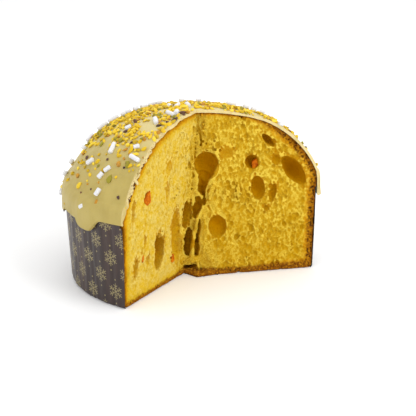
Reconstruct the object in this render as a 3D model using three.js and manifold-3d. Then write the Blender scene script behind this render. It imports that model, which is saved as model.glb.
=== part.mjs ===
// A low, wide panettone: a domed, yellow-crumbed sweet loaf baked in a fluted paper case, coated with
// pistachio icing that runs down over the rim, and strewn with chopped pistachios and short sugar rods.
// A wide wedge has been cut away, so two crumb faces show, with their bubbles and candied orange.
//
// Millimetres, +Z up. The origin is the centre of the round base, on the surface that it stands on.
// The cut opens towards -Y. Azimuths are in degrees from +X, counter-clockwise seen from above.
import * as THREE from "three";
import { mergeVertices } from "three/addons/utils/BufferGeometryUtils.js";
import Module from "manifold-3d";

const wasm = await Module();
wasm.setup();

// Driving dimensions
const CASE_TOP_RADIUS = 105;
const CASE_BASE_RADIUS = 102;
const CASE_HEIGHT = 72;
const PAPER = 0.8;
const FLUTES = 28;
const FLUTE_DEPTH = 0.8;
const GAP = 0.3;

const DOME_RADIUS = 106;
const DOME_WAIST = 60;
const LOAF_HEIGHT = 139.3;
const DOME_POWER = 2.1;
const FULL_SIDE = -34.65;
const FULLNESS = 3.2;
const SWELL = { by: 2.5, whole: 84, until: 128 };

const ICING = 2.3;
const ICING_EDGE = 71.4;

const SUGAR_ROD = { count: 56, radius: 1.9, length: 7.6, apart: 9 };
const PISTACHIO = { count: 102, size: 2.1, apart: 5.2 };

// The knife's two planes, and the short plane along which the crumb tore off between them. A plane is
// given by the azimuth of its normal, which points into the removed wedge, its distance from the axis at
// the base, and how far it moves towards the wedge for each millimetre of height.
const LEFT_CUT = { normal: 294.7, offset: 0.9, lean: 0.038 };
const RIGHT_CUT = { normal: 247.35, offset: 19.2, lean: -0.102 };
const TEAR = { normal: 229.75, offset: 11.8, lean: -0.081 };

// Bubbles that the knife opened: the face, the place along it and above the base, the half width, the half
// height and the depth, and how far the bubble leans over, in degrees.
const BUBBLES = [
  { cut: "right", along: 12, up: 94, size: [10, 12.5, 14], turn: 8 },
  { cut: "right", along: 65, up: 113, size: [6.8, 2.6, 5], turn: -46 },
  { cut: "right", along: 51, up: 96, size: [6.2, 6.2, 6], turn: 0 },
  { cut: "right", along: 72, up: 95.5, size: [4.2, 4.4, 3], turn: 0 },
  { cut: "right", along: 87.5, up: 85.5, size: [15, 7.6, 9], turn: -50 },
  { cut: "right", along: 56, up: 71.5, size: [6.2, 10.5, 7], turn: 8 },
  { cut: "right", along: 68.7, up: 67.8, size: [3, 8, 4], turn: -12 },
  { cut: "right", along: 21, up: 42, size: [8.6, 9.6, 6], turn: 0 },
  { cut: "left", along: 51, up: 32, size: [7.5, 13, 12], turn: 8 },
  { cut: "left", along: 86.6, up: 29.2, size: [3.4, 9, 4], turn: 12 },
  { cut: "left", along: 25.7, up: 38.3, size: [6.5, 23, 6], turn: 0 },
  { cut: "left", along: 8, up: 36, size: [5, 27, 12], turn: 0 },
  { cut: "right", along: 6, up: 68, size: [4.4, 17, 8], turn: -8 },
  { cut: "left", along: 41.4, up: 79.5, size: [3.6, 9, 3.5], turn: 0 },
];

// The bottom crust stuck to the case and tore off in front of the crumb: its outline seen from above.
const CRUST_LEDGE = { outline: [[-11.1, -6.1], [-6.9, -21.5], [8.9, -25], [7.8, -15.1]], height: 3.4 };

// Candied orange peel that the knife laid bare: the face, the place, the size along, up and inwards, a
// turn in degrees, and for one piece how far it lies back in its hole.
const PEEL = [
  { cut: "left", along: 71.8, up: 85.4, size: [6.4, 10.5, 5], turn: -12 },
  { cut: "left", along: 32.6, up: 21.5, size: [4.2, 7.4, 4.5], turn: 14 },
  { cut: "right", along: 53, up: 93.6, size: [6.4, 6.0, 5], turn: 35, sunk: 4.0 },
  { cut: "left", along: 77.2, up: 35.5, size: [3.2, 5.6, 3.6], turn: 6 },
];

// Tongues of icing that ran down over the rim: azimuth, drop and half width in degrees.
const DRIPS = [
  { at: 184, drop: 11, wide: 7.5 },
  { at: 170, drop: 6, wide: 13 },
  { at: 157, drop: 10, wide: 6 },
  { at: 139, drop: 5, wide: 7 },
  { at: 121, drop: 12, wide: 6.5 },
  { at: 103, drop: 4, wide: 8 },
  { at: 84, drop: 9, wide: 6 },
  { at: 62, drop: 5, wide: 9 },
  { at: 43, drop: 13, wide: 6 },
  { at: 27, drop: 6, wide: 10 },
  { at: 5, drop: 9, wide: 5.5 },
  { at: 349, drop: 4, wide: 7 },
  { at: 332, drop: 8, wide: 8 },
];

const radians = THREE.MathUtils.degToRad;
const lerp = THREE.MathUtils.lerp;
const smoothstep = THREE.MathUtils.smoothstep;

// A repeatable random draw between 0 and 1.
function randomFrom(seed) {
  let state = seed;
  return () => {
    state = (state + 0x6d2b79f5) | 0;
    let t = Math.imul(state ^ (state >>> 15), 1 | state);
    t = (t + Math.imul(t ^ (t >>> 7), 61 | t)) ^ t;
    return ((t ^ (t >>> 14)) >>> 0) / 4294967296;
  };
}

// A closed three.js geometry as a solid that can be cut and joined.
function solid(geometry) {
  const bare = geometry.clone();
  bare.deleteAttribute("normal");
  bare.deleteAttribute("uv");
  const merged = mergeVertices(bare, 1e-3);
  const index = merged.index.array;
  const kept = [];
  for (let i = 0; i < index.length; i += 3) {
    const [a, b, c] = [index[i], index[i + 1], index[i + 2]];
    if (a !== b && b !== c && a !== c) kept.push(a, b, c);
  }
  return new wasm.Manifold(
    new wasm.Mesh({
      numProp: 3,
      vertProperties: new Float32Array(merged.attributes.position.array),
      triVerts: new Uint32Array(kept),
    }),
  );
}

function mesh(name, made, colour, roughness) {
  const { numProp, numVert, vertProperties, triVerts } = made.getMesh();
  const positions = new Float32Array(numVert * 3);
  for (let i = 0; i < numVert; i++) {
    positions.set(vertProperties.subarray(i * numProp, i * numProp + 3), i * 3);
  }
  const geometry = new THREE.BufferGeometry();
  geometry.setAttribute("position", new THREE.BufferAttribute(positions, 3));
  geometry.setIndex(new THREE.BufferAttribute(new Uint32Array(triVerts), 1));
  geometry.computeVertexNormals();
  const material = new THREE.MeshStandardMaterial({ color: colour, roughness, metalness: 0 });
  const result = new THREE.Mesh(geometry, material);
  result.name = name;
  return result;
}

// A profile of [radius, height] turned round +Z, each vertex then moved by shape(vertex, azimuth).
function turned(profile, segments, shape) {
  const points = profile.map(([radius, height]) => new THREE.Vector2(radius, height));
  const geometry = new THREE.LatheGeometry(points, segments).rotateX(Math.PI / 2);
  const place = geometry.attributes.position;
  const vertex = new THREE.Vector3();
  for (let i = 0; i < place.count; i++) {
    vertex.fromBufferAttribute(place, i);
    shape(vertex, Math.atan2(vertex.y, vertex.x));
    place.setXYZ(i, vertex.x, vertex.y, vertex.z);
  }
  return solid(geometry);
}

function setRadius(vertex, radius) {
  const now = Math.hypot(vertex.x, vertex.y);
  if (now < 1e-6) return;
  vertex.x *= radius / now;
  vertex.y *= radius / now;
}

// The shape of the baked dome
function bell(value, middle, width) {
  return Math.exp(-(((value - middle) / width) ** 2));
}

function angleBetween(azimuth, degrees) {
  return Math.abs(Math.atan2(Math.sin(azimuth - radians(degrees)), Math.cos(azimuth - radians(degrees))));
}

// The dough pushed the case out a little on one side.
function fullness(azimuth) {
  return FULLNESS * Math.max(0, Math.cos(azimuth - radians(FULL_SIDE))) ** 2;
}

// On that side the dome also swelled: wholly between two heights, and fading out to the rim and the top.
function swell(azimuth, height) {
  const side = Math.max(0, Math.cos(azimuth - radians(FULL_SIDE))) ** 2;
  const below = smoothstep(height, CASE_HEIGHT, SWELL.whole);
  const above = 1 - smoothstep(height, SWELL.until, LOAF_HEIGHT);
  return SWELL.by * side * below * above;
}

// How far the dome stands out from a true body of revolution, in millimetres: it sags opposite the full
// side, has a dent in that shoulder, and is slightly wavy all over.
function unevenness(azimuth, height) {
  const sag = 2 * Math.min(0, Math.cos(azimuth - radians(FULL_SIDE))) * bell(height, 102, 26);
  const dent = -2.6 * bell(angleBetween(azimuth, 157), 0, 0.62) * bell(height, 110, 12);
  const waves = 0.5 * Math.sin(3 * azimuth + height / 17) * bell(height, 98, 34);
  return fullness(azimuth) + sag + dent + waves;
}

function domeRadius(azimuth, height, grow) {
  const grown = grow + swell(azimuth, height);
  const rise = (height - DOME_WAIST) / (LOAF_HEIGHT + grown - DOME_WAIST);
  const share = Math.max(0, 1 - Math.max(0, rise) ** DOME_POWER) ** (1 / DOME_POWER);
  return share * (DOME_RADIUS + grown + unevenness(azimuth, height));
}

// Heights of the dome's rings, closer together towards the flat top. The loaf and the icing's inner face
// share their number, so that their facets lie side by side.
const DOME_ROWS = 13;

function domeHeights(from, grow, rows = DOME_ROWS) {
  const top = LOAF_HEIGHT + grow;
  const start = Math.asin(((from - DOME_WAIST) / (top - DOME_WAIST)) ** (DOME_POWER / 2));
  return Array.from({ length: rows }, (_, i) => {
    const angle = lerp(start, Math.PI / 2, i / (rows - 1));
    return DOME_WAIST + (top - DOME_WAIST) * Math.sin(angle) ** (2 / DOME_POWER);
  });
}

// The cut
function inFrontOf({ normal, offset, lean }) {
  const reach = 600;
  const direction = new THREE.Vector3(Math.cos(radians(normal)), Math.sin(radians(normal)), -lean);
  const slope = direction.length();
  direction.normalize();
  const box = new THREE.BoxGeometry(reach, reach, reach).translate(reach / 2, 0, 0);
  box.applyQuaternion(new THREE.Quaternion().setFromUnitVectors(new THREE.Vector3(1, 0, 0), direction));
  box.translate(...direction.multiplyScalar(offset / slope).toArray());
  return solid(box);
}

const cutAway = inFrontOf(LEFT_CUT).intersect(inFrontOf(RIGHT_CUT).add(inFrontOf(TEAR)));

// A frame on a cut face: x along the face and away from the middle, y out of the crumb, z up the face.
function onFace(cut, along, up, out = 0) {
  const plane = cut === "left" ? LEFT_CUT : RIGHT_CUT;
  const side = cut === "left" ? -90 : 90;
  const outwards = new THREE.Vector3(Math.cos(radians(plane.normal)), Math.sin(radians(plane.normal)), 0);
  const away = new THREE.Vector3(
    Math.cos(radians(plane.normal + side)),
    Math.sin(radians(plane.normal + side)),
    0,
  );
  const upwards = new THREE.Vector3(0, 0, 1).addScaledVector(outwards, plane.lean).normalize();
  const facing = new THREE.Vector3().crossVectors(upwards, away).multiplyScalar(cut === "left" ? -1 : 1);
  if (facing.dot(outwards) < 0) facing.negate();
  const place = new THREE.Vector3()
    .addScaledVector(outwards, plane.offset + plane.lean * up)
    .addScaledVector(away, along)
    .addScaledVector(facing, out);
  place.z += up;
  const x = new THREE.Vector3().crossVectors(facing, upwards);
  const handed = x.dot(away) > 0 ? 1 : -1;
  const frame = new THREE.Matrix4().makeBasis(x, facing, upwards);
  frame.setPosition(place);
  return { frame, handed };
}

function bubble({ cut, along, up, size, turn }) {
  const { frame, handed } = onFace(cut, along, up);
  const ball = new THREE.SphereGeometry(1, 12, 8).scale(size[0], size[2], size[1]);
  ball.rotateY(radians(-turn * handed));
  return solid(ball.applyMatrix4(frame));
}

// A diced piece of candied peel: a block with its corners taken off, seated a little below the face.
function peel({ cut, along, up, size, turn, sunk = 0 }, grow = 0) {
  const { frame, handed } = onFace(cut, along, up, -size[2] / 2 + 0.6 - sunk);
  const block = new THREE.IcosahedronGeometry(1, 1);
  block.scale(size[0] / 2 + grow, size[2] / 2 + grow, size[1] / 2 + grow);
  block.rotateY(radians(-turn * handed));
  return solid(block.applyMatrix4(frame));
}

// The paper case: a fluted wall and a flat base in one piece
function caseRadius(height) {
  return lerp(CASE_BASE_RADIUS, CASE_TOP_RADIUS, height / CASE_HEIGHT);
}

function paperCase() {
  const profile = [
    [0, 0],
    [caseRadius(0), 0],
    [caseRadius(CASE_HEIGHT), CASE_HEIGHT],
    [caseRadius(CASE_HEIGHT) - PAPER, CASE_HEIGHT],
    [caseRadius(PAPER) - PAPER, PAPER],
    [0, PAPER],
  ];
  return turned(profile, FLUTES * 4, (vertex, azimuth) => {
    const radius = Math.hypot(vertex.x, vertex.y);
    if (radius < 1) return;
    const flute = (FLUTE_DEPTH * (1 - Math.cos(FLUTES * azimuth))) / 2;
    setRadius(vertex, radius - flute + fullness(azimuth));
  }).subtract(cutAway);
}

// The loaf: crumb and crust in one solid, filling the case and doming over its rim
function loaf() {
  const base = PAPER + GAP;
  const inset = PAPER + FLUTE_DEPTH + GAP;
  const rim = CASE_HEIGHT + GAP + 0.05;
  const corner = 3;
  const profile = [
    [0, base],
    [caseRadius(base) - inset - corner, base],
    [caseRadius(base) - inset, base + corner],
    [caseRadius(35) - inset, 35],
    [caseRadius(rim) - inset, rim],
    ...domeHeights(rim + 0.4, 0).map((height) => [domeRadius(0, height, 0), height]),
  ];
  profile[profile.length - 1][0] = 0;
  let body = turned(profile, 72, (vertex, azimuth) => {
    const radius = Math.hypot(vertex.x, vertex.y);
    const below = radius < 1 ? 0 : radius + fullness(azimuth);
    setRadius(vertex, vertex.z > rim + 0.2 ? domeRadius(azimuth, vertex.z, 0) : below);
  }).subtract(cutAway);
  const outline = CRUST_LEDGE.outline.map(([x, y]) => new THREE.Vector2(x, y));
  const ledge = new THREE.ExtrudeGeometry(new THREE.Shape(outline), {
    depth: CRUST_LEDGE.height,
    bevelEnabled: false,
  });
  body = body.add(solid(ledge.translate(0, 0, base)));
  for (const hollow of BUBBLES) body = body.subtract(bubble(hollow));
  for (const piece of PEEL) body = body.subtract(peel(piece, GAP + 0.1));
  return body;
}

// The icing: a shell over the dome whose lower edge hangs over the case's rim
function icingEdge(azimuth) {
  const waves = 0.3 * Math.sin(5 * azimuth + 1) + 0.25 * Math.sin(11 * azimuth);
  const runs = DRIPS.map(({ at, drop, wide }) => {
    const away = angleBetween(azimuth, at) / radians(wide);
    return drop * Math.exp(-(away ** 4));
  });
  return ICING_EDGE + waves - Math.max(...runs);
}

function icingShell() {
  const hangs = caseRadius(CASE_HEIGHT) + GAP + 0.1;
  const start = CASE_HEIGHT + 1;
  const inner = domeHeights(start, GAP).reverse();
  const outer = domeHeights(start + 8, ICING, 10);
  // Rows of the skirt carry their share of the way from the lowest ring of the dome down to the edge.
  const rows = [
    ...inner.map((height) => ({ height, grow: GAP })),
    { share: 1, grow: GAP },
    { share: 1, grow: ICING, lift: 1.2, pinch: 0.8 },
    { share: 0.72, grow: ICING },
    { share: 0.3, grow: ICING },
    ...outer.map((height) => ({ height, grow: ICING })),
  ];
  const profile = rows.map((_, i) => [i === 0 || i === rows.length - 1 ? 0 : 50, i]);
  return turned(profile, 96, (vertex, azimuth) => {
    const { height, share, grow, lift = 0, pinch = 0 } = rows[Math.round(vertex.z)];
    const from = grow === GAP ? inner[inner.length - 1] : outer[0];
    vertex.z = height ?? lerp(from, icingEdge(azimuth), share) + lift;
    const least = height > start + 4 ? 0 : hangs + grow - GAP + fullness(azimuth);
    setRadius(vertex, Math.max(least, domeRadius(azimuth, vertex.z, grow)) - pinch);
  });
}

// A point on the icing's outer face and its outward normal
function onIcing(azimuth, slope) {
  const place = (a, s) => {
    const top = LOAF_HEIGHT + ICING;
    const height = DOME_WAIST + (top - DOME_WAIST) * Math.sin(s) ** (2 / DOME_POWER);
    const radius = domeRadius(a, height, ICING);
    return new THREE.Vector3(radius * Math.cos(a), radius * Math.sin(a), height);
  };
  const step = 0.01;
  const here = place(azimuth, slope);
  const round = place(azimuth + step, slope).sub(here);
  const up = place(azimuth, slope + step).sub(here);
  return { here, normal: round.cross(up).normalize() };
}

function clearOfCut(point, margin) {
  const beyond = ({ normal, offset, lean }) => {
    const reach = point.x * Math.cos(radians(normal)) + point.y * Math.sin(radians(normal));
    return reach > offset + lean * point.z - margin;
  };
  return !(beyond(LEFT_CUT) && (beyond(RIGHT_CUT) || beyond(TEAR)));
}

// Scatters pieces over the icing by dart throwing: share(slope) is the chance that a dart stays, from the
// icing's edge, where the slope angle is small, to the top of the dome.
function scatter({ count, apart }, random, share, taken, make) {
  const made = [];
  for (let tries = 0; tries < 20000 && made.length < count; tries++) {
    const azimuth = random() * 2 * Math.PI;
    const slope = Math.acos(Math.sqrt(random())) * 0.98;
    if (slope < 0.3 || random() > share(slope)) continue;
    const { here, normal } = onIcing(azimuth, slope);
    if (!clearOfCut(here, 4.5)) continue;
    if (taken.some((other) => other.here.distanceTo(here) < (apart + other.apart) / 2)) continue;
    taken.push({ here, apart });
    made.push(make(here, normal, random));
  }
  return made;
}

// Stands a piece on the icing, with its length lying along it at a random heading.
function laid(geometry, here, normal, random, sink, tilt) {
  const flat = new THREE.Quaternion().setFromUnitVectors(new THREE.Vector3(0, 0, 1), normal);
  geometry.rotateY((random() - 0.5) * tilt);
  geometry.rotateZ(random() * Math.PI);
  geometry.applyQuaternion(flat);
  geometry.translate(...here.clone().addScaledVector(normal, sink).toArray());
  return solid(geometry);
}

function toppings() {
  const random = randomFrom(11);
  const taken = [];
  const rodShare = (slope) => lerp(0.55, 1, slope / 1.5);
  const chipShare = (slope) => lerp(0.1, 1, (slope / 1.3) ** 1.5);
  const rods = scatter(SUGAR_ROD, random, rodShare, taken, (here, normal) => {
    const length = SUGAR_ROD.length * lerp(0.55, 1.15, random());
    const rod = new THREE.CylinderGeometry(SUGAR_ROD.radius, SUGAR_ROD.radius, length, 6, 1);
    return laid(rod, here, normal, random, 0.9, 0.5);
  });
  const chips = scatter(PISTACHIO, random, chipShare, taken, (here, normal) => {
    const size = PISTACHIO.size * lerp(0.75, 1.25, random());
    const chip = new THREE.OctahedronGeometry(1, 0);
    chip.scale(size * lerp(1, 1.5, random()), size * lerp(0.7, 1, random()), size * 0.75);
    return laid(chip, here, normal, random, 0.35, 0.6);
  });
  return [...rods, ...chips];
}

function icing() {
  let shell = icingShell();
  for (const piece of toppings()) shell = shell.add(piece);
  return shell.subtract(cutAway);
}

const panettone = new THREE.Group();
panettone.name = "panettone";
panettone.add(mesh("paper_case", paperCase(), 0x45332f, 0.6));
panettone.add(mesh("loaf", loaf(), 0xe2b83c, 0.9));
panettone.add(mesh("icing", icing(), 0xc8b676, 0.45));
PEEL.forEach((piece, i) => panettone.add(mesh(`candied_orange_${i + 1}`, peel(piece), 0xd9741a, 0.4)));

export default panettone;
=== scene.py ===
import itertools
import math

import bmesh
import bpy
import numpy as np
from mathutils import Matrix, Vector


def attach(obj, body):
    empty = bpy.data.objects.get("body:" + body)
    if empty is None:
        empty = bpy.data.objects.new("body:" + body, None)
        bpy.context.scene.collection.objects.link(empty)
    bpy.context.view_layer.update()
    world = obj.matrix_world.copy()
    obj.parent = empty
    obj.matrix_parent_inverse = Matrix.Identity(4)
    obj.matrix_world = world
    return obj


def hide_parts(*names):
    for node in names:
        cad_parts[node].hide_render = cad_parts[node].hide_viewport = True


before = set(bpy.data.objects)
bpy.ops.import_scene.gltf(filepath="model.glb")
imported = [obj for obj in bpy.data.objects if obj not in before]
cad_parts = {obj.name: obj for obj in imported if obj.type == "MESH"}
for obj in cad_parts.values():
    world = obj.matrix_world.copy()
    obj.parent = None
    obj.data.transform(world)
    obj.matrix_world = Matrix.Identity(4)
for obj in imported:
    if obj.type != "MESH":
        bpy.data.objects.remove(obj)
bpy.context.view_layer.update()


# PAPER CASE
# The loaf is baked in a low round case of dark brown greaseproof paper, pleated all round so that the wall
# stands by itself, and printed with pale snowflakes. The knife went through paper and loaf together.

MM = 0.001
CASE_HEIGHT = 72.0
CASE_BASE_RADIUS = 102.0
CASE_TOP_RADIUS = 105.0
CASE_PAPER = 0.4
CASE_PLEATS = 28
CASE_PLEAT_DEPTH = 0.9
CREASE_WIDTH = 0.1
WALL_GRID = (40, 900)
WALL_REST = 0.25
CORNER_CURL = 1.5
FOOT_TUCK = 1.3
FLOOR_INSET = 1.2
FLOOR_OVERHANG = 0.9
FULL_SIDE = math.radians(-34.65)
FULLNESS = 3.2

# The knife's two planes, and the plane along which the crumb tore between them: azimuth of the normal,
# which points into the gap, distance from the axis at the base, and the shift towards the gap for each
# millimetre of height.
LEFT_CUT = (294.7, 0.9, 0.038)
RIGHT_CUT = (247.35, 19.2, -0.102)
TEAR = (229.75, 11.8, -0.081)


def case_radius(z):
    return CASE_BASE_RADIUS + (CASE_TOP_RADIUS - CASE_BASE_RADIUS) * z / CASE_HEIGHT


def fullness(azimuth):
    return FULLNESS * np.maximum(0, np.cos(azimuth - FULL_SIDE)) ** 2


def past_cut(x, y, z, cut):
    normal, offset, lean = cut
    a = math.radians(normal)
    return x * math.cos(a) + y * math.sin(a) - offset - lean * z


def blend_step(low, high, value):
    t = np.clip((value - low) / (high - low), 0, 1)
    return t * t * (3 - 2 * t)


def bell(value, middle, spread):
    """1 at the middle, falling smoothly to 0 on both sides."""
    return np.exp(-(((value - middle) / spread) ** 2))


def between(limits, share):
    return limits[0] + (limits[1] - limits[0]) * share


def paper_outer(azimuth, z):
    """Radius of the pleated wall's outer face: narrow creases between broad soft pleats, no two alike."""
    turn = CASE_PLEATS * azimuth / (2 * math.pi) + 0.06 * np.sin(3 * azimuth + 1) + 0.05 * np.sin(8 * azimuth)
    off = np.mod(turn, 1) - 0.5
    deep = 0.7 + 0.3 * np.sin(5.3 * azimuth + 2) * np.cos(2.1 * azimuth)
    crease = CASE_PLEAT_DEPTH * deep * bell(off, 0, CREASE_WIDTH)
    sway = 0.2 * np.cos(4 * math.pi * off) + 0.2 * np.sin(9 * azimuth + z / 23)
    return case_radius(z) + fullness(azimuth) - crease + sway - 0.3


def wall_end(z, cut, side):
    """Azimuth at which the wall meets a cut at height z: side is 1 for the left cut, -1 for the right."""
    normal, offset, lean = cut
    azimuth = side
    for _ in range(8):
        radius = case_radius(z) + float(fullness(azimuth))
        off_normal = math.acos((offset + lean * z) / radius)
        azimuth = math.radians(normal - 360) - side * off_normal + (2 * math.pi if side > 0 else 0)
    return azimuth


def add_mesh(name, points, faces):
    """A smooth mesh object from points in millimetres."""
    sizes = [len(face) for face in faces]
    mesh = bpy.data.meshes.new(name)
    mesh.vertices.add(len(points))
    mesh.vertices.foreach_set("co", (np.asarray(points, float) * MM).astype(np.float32).ravel())
    mesh.loops.add(sum(sizes))
    mesh.loops.foreach_set("vertex_index", np.fromiter(itertools.chain.from_iterable(faces), np.int32))
    mesh.polygons.add(len(sizes))
    mesh.polygons.foreach_set("loop_start", np.cumsum([0, *sizes[:-1]]).astype(np.int32))
    mesh.update(calc_edges=True)
    mesh.validate()
    mesh.shade_smooth()
    piece = bpy.data.objects.new(name, mesh)
    bpy.context.scene.collection.objects.link(piece)
    return piece


def sheet_faces(rows, columns, offset=0, flip=False):
    """Quads of a grid whose points run column by column within each row."""
    r, c = np.meshgrid(np.arange(rows - 1), np.arange(columns - 1), indexing="ij")
    a = offset + r * columns + c
    quads = np.stack([a, a + 1, a + 1 + columns, a + columns], -1).reshape(-1, 4)
    return quads[:, ::-1].tolist() if flip else quads.tolist()


def thick_sheet(inner, outer):
    """A closed shell between two grids of points with the same rows and columns, the outer one facing out."""
    rows, columns = outer.shape[:2]
    count = rows * columns
    faces = sheet_faces(rows, columns) + sheet_faces(rows, columns, count, True)
    rim = [(0, c) for c in range(columns)] + [(r, columns - 1) for r in range(1, rows)]
    rim += [(rows - 1, c) for c in range(columns - 2, -1, -1)] + [(r, 0) for r in range(rows - 2, 0, -1)]
    for (r0, c0), (r1, c1) in zip(rim, rim[1:] + rim[:1]):
        a, b = r0 * columns + c0, r1 * columns + c1
        faces.append((b, a, a + count, b + count))
    return np.concatenate([outer.reshape(-1, 3), inner.reshape(-1, 3)]), faces


LEFT_END = [wall_end(z, LEFT_CUT, 1) for z in (0, CASE_HEIGHT)]
RIGHT_END = [wall_end(z, RIGHT_CUT, -1) for z in (0, CASE_HEIGHT)]


def case_wall():
    rows, columns = WALL_GRID
    z = np.linspace(WALL_REST, CASE_HEIGHT, rows)[:, None]
    u = np.linspace(0, 1, columns)[None, :]
    up = z / CASE_HEIGHT
    right = between(RIGHT_END, up)
    # By the left cut the paper stands off the loaf at the top, where its corner is rounded.
    back = 0.004 * blend_step(40, 66, z) + 0.03 * blend_step(66, 72.5, z) ** 2
    left = between(LEFT_END, up) - back
    azimuth = right + (left - right) * u
    curl = CORNER_CURL * blend_step(0.97, 1, u) * blend_step(40, 70, z)
    tuck = FOOT_TUCK * (1 - blend_step(0.2, 2.2, z))
    radius = paper_outer(azimuth, z) + curl - tuck
    edge = z + 0.25 * np.sin(37 * azimuth) * blend_step(60, 72, z)

    def at(r):
        return np.stack([r * np.cos(azimuth), r * np.sin(azimuth), edge + 0 * r], -1)

    return thick_sheet(at(radius - CASE_PAPER), at(radius))


# The bottom's outline where the crumb tore, from the left cut round to the right cut.
TORN_FLOOR = [(-11.1, -6.1), (-7.4, -19.5), (8.4, -23.4), (11.0, -25.3)]


def case_floor():
    """The case's flat bottom, as rays from the middle of the base out to its outline."""
    azimuth = np.linspace(RIGHT_END[0], LEFT_END[0], 500)
    wall = paper_outer(azimuth, 0.0) - FLOOR_INSET
    outline = np.stack([wall * np.cos(azimuth), wall * np.sin(azimuth)], -1)
    # The bottom crust hangs a little over the cut edge of the paper.
    for cut in (LEFT_CUT, RIGHT_CUT):
        inwards = -np.array([math.cos(math.radians(cut[0])), math.sin(math.radians(cut[0]))])
        near = np.maximum(0, FLOOR_OVERHANG + past_cut(*outline.T, 0, cut)) * (outline @ inwards < 5)
        outline = outline + near[:, None] * inwards
    outline = np.concatenate([outline, TORN_FLOOR, outline[:1]])
    shares = np.linspace(0.02, 1, 14)[:, None, None]
    flat = outline[None] * shares
    pleat = 0.12 * (1 + np.sin(np.arctan2(flat[..., 1], flat[..., 0]) * CASE_PLEATS)) * (shares[..., 0] > 0.6)
    low = np.concatenate([flat, (0.02 + pleat)[..., None]], -1)
    high = low + np.array([0, 0, CASE_PAPER])
    return thick_sheet(high, low[:, ::-1][:, ::-1])


def operator(operation, swapped=False):
    """A method that puts one maths node behind a socket."""
    def method(self, *others):
        return self.finish.maths(operation, *((*others, self) if swapped else (self, *others)))

    return method


class Value:
    """A socket in a material, so that shader maths can be written as a sum."""

    def __init__(self, finish, socket):
        self.finish = finish
        self.socket = socket

    __add__ = __radd__ = operator("ADD")
    __mul__ = __rmul__ = operator("MULTIPLY")
    __sub__ = operator("SUBTRACT")
    __rsub__ = operator("SUBTRACT", swapped=True)
    __truediv__ = operator("DIVIDE")
    __mod__ = operator("FLOORED_MODULO")
    __pow__ = operator("POWER")
    __lt__ = operator("LESS_THAN")
    __gt__ = operator("GREATER_THAN")
    __abs__ = operator("ABSOLUTE")
    __round__ = operator("ROUND")
    at_least = operator("MAXIMUM")
    at_most = operator("MINIMUM")

    def eased(self, low, high):
        """0 below low, 1 above high, smooth between."""
        span = {"Value": self, "From Min": low, "From Max": high}
        return self.finish.node("ShaderNodeMapRange", {"interpolation_type": "SMOOTHSTEP"}, span)


class Finish:
    """A material in the making: nodes are added to it and joined to its one surface shader."""

    def __init__(self, name, **constants):
        self.material = bpy.data.materials.new(name)
        self.material.use_nodes = True
        self.tree = self.material.node_tree
        self.surface = self.tree.nodes["Principled BSDF"]
        for socket, value in constants.items():
            self.surface.inputs[socket.replace("_", " ")].default_value = value

    def node(self, kind, settings=None, sockets=None, output=0):
        made = self.tree.nodes.new(kind)
        for name, value in (settings or {}).items():
            if name != "stops":
                setattr(made, name, value)
                continue
            while len(made.color_ramp.elements) < len(value):
                made.color_ramp.elements.new(0.5)
            for element, (place, colour) in zip(made.color_ramp.elements, value):
                element.position = place
                element.color = (*colour, 1)
        for name, value in (sockets or {}).items():
            self.join(value, made.inputs[name])
        return Value(self, made.outputs[output])

    def maths(self, operation, *values):
        return self.node("ShaderNodeMath", {"operation": operation}, dict(enumerate(values)))

    def join(self, value, socket):
        if isinstance(value, Value):
            self.tree.links.new(value.socket, socket)
        elif socket.type == "RGBA" and len(value) == 3:
            socket.default_value = (*value, 1)
        else:
            socket.default_value = value

    def mix(self, factor, low, high):
        return self.node("ShaderNodeMix", {"data_type": "RGBA"}, {0: factor, 6: low, 7: high}, 2)

    def painted(self, colour, *coats):
        """Colours laid over a first one, each as thickly as its factor says."""
        for factor, tint in coats:
            colour = self.mix(factor, colour, tint)
        return colour

    def read(self, name):
        """A number stored on the mesh's points."""
        return self.node("ShaderNodeAttribute", {"attribute_name": name}, output="Fac")

    def place(self):
        """Where a point lies on the object, in metres."""
        return self.node("ShaderNodeTexCoord", output="Object")

    def axis(self, number):
        """How far that place lies along x, y or z."""
        return self.node("ShaderNodeSeparateXYZ", sockets={0: self.place()}, output=number)

    def stretched(self, scale):
        return self.node("ShaderNodeVectorMath", {"operation": "MULTIPLY"}, {0: self.place(), 1: scale})

    def mottle(self, size, detail=3.0, vector=None, roughness=0.5):
        """Cloudy noise between 0 and 1 whose blotches are about size millimetres."""
        sockets = {"Vector": vector or self.place(), "Scale": 1000 / size}
        return self.node("ShaderNodeTexNoise", sockets=sockets | {"Detail": detail, "Roughness": roughness})

    def relief(self, height, depth, before=None):
        """Bump of so many millimetres."""
        sockets = {"Height": height, "Distance": depth * MM, "Strength": 1.0}
        if before:
            sockets["Normal"] = before
        return self.node("ShaderNodeBump", sockets=sockets)

    def finish(self, **sockets):
        for socket, value in sockets.items():
            self.join(value, self.surface.inputs[socket.replace("_", " ")])
        return self.material


PAPER_BROWN = (0.021, 0.0085, 0.006)
PAPER_RUSSET = (0.042, 0.016, 0.009)
PAPER_WORN = (0.062, 0.030, 0.020)
PRINT = (0.26, 0.21, 0.09)

# The print repeats on a slanting net: where one snowflake lies, as azimuth and height, the steps to its two
# neighbours, and the length of an arm.
SNOW_FIRST = (math.radians(192.0), 25.6)
SNOW_STEPS = ((math.radians(8.55), -12.0), (math.radians(-6.65), -16.35))
SNOW_ARM = 7.2
SNOW_STROKE = 0.33
# Twigs by where they leave the arm and their length, and the dot by its distance and radius.
SNOW_TWIGS = ((2.6, 1.5), (4.4, 2.1))
SNOW_DOT = (10.3, 0.7)


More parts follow.
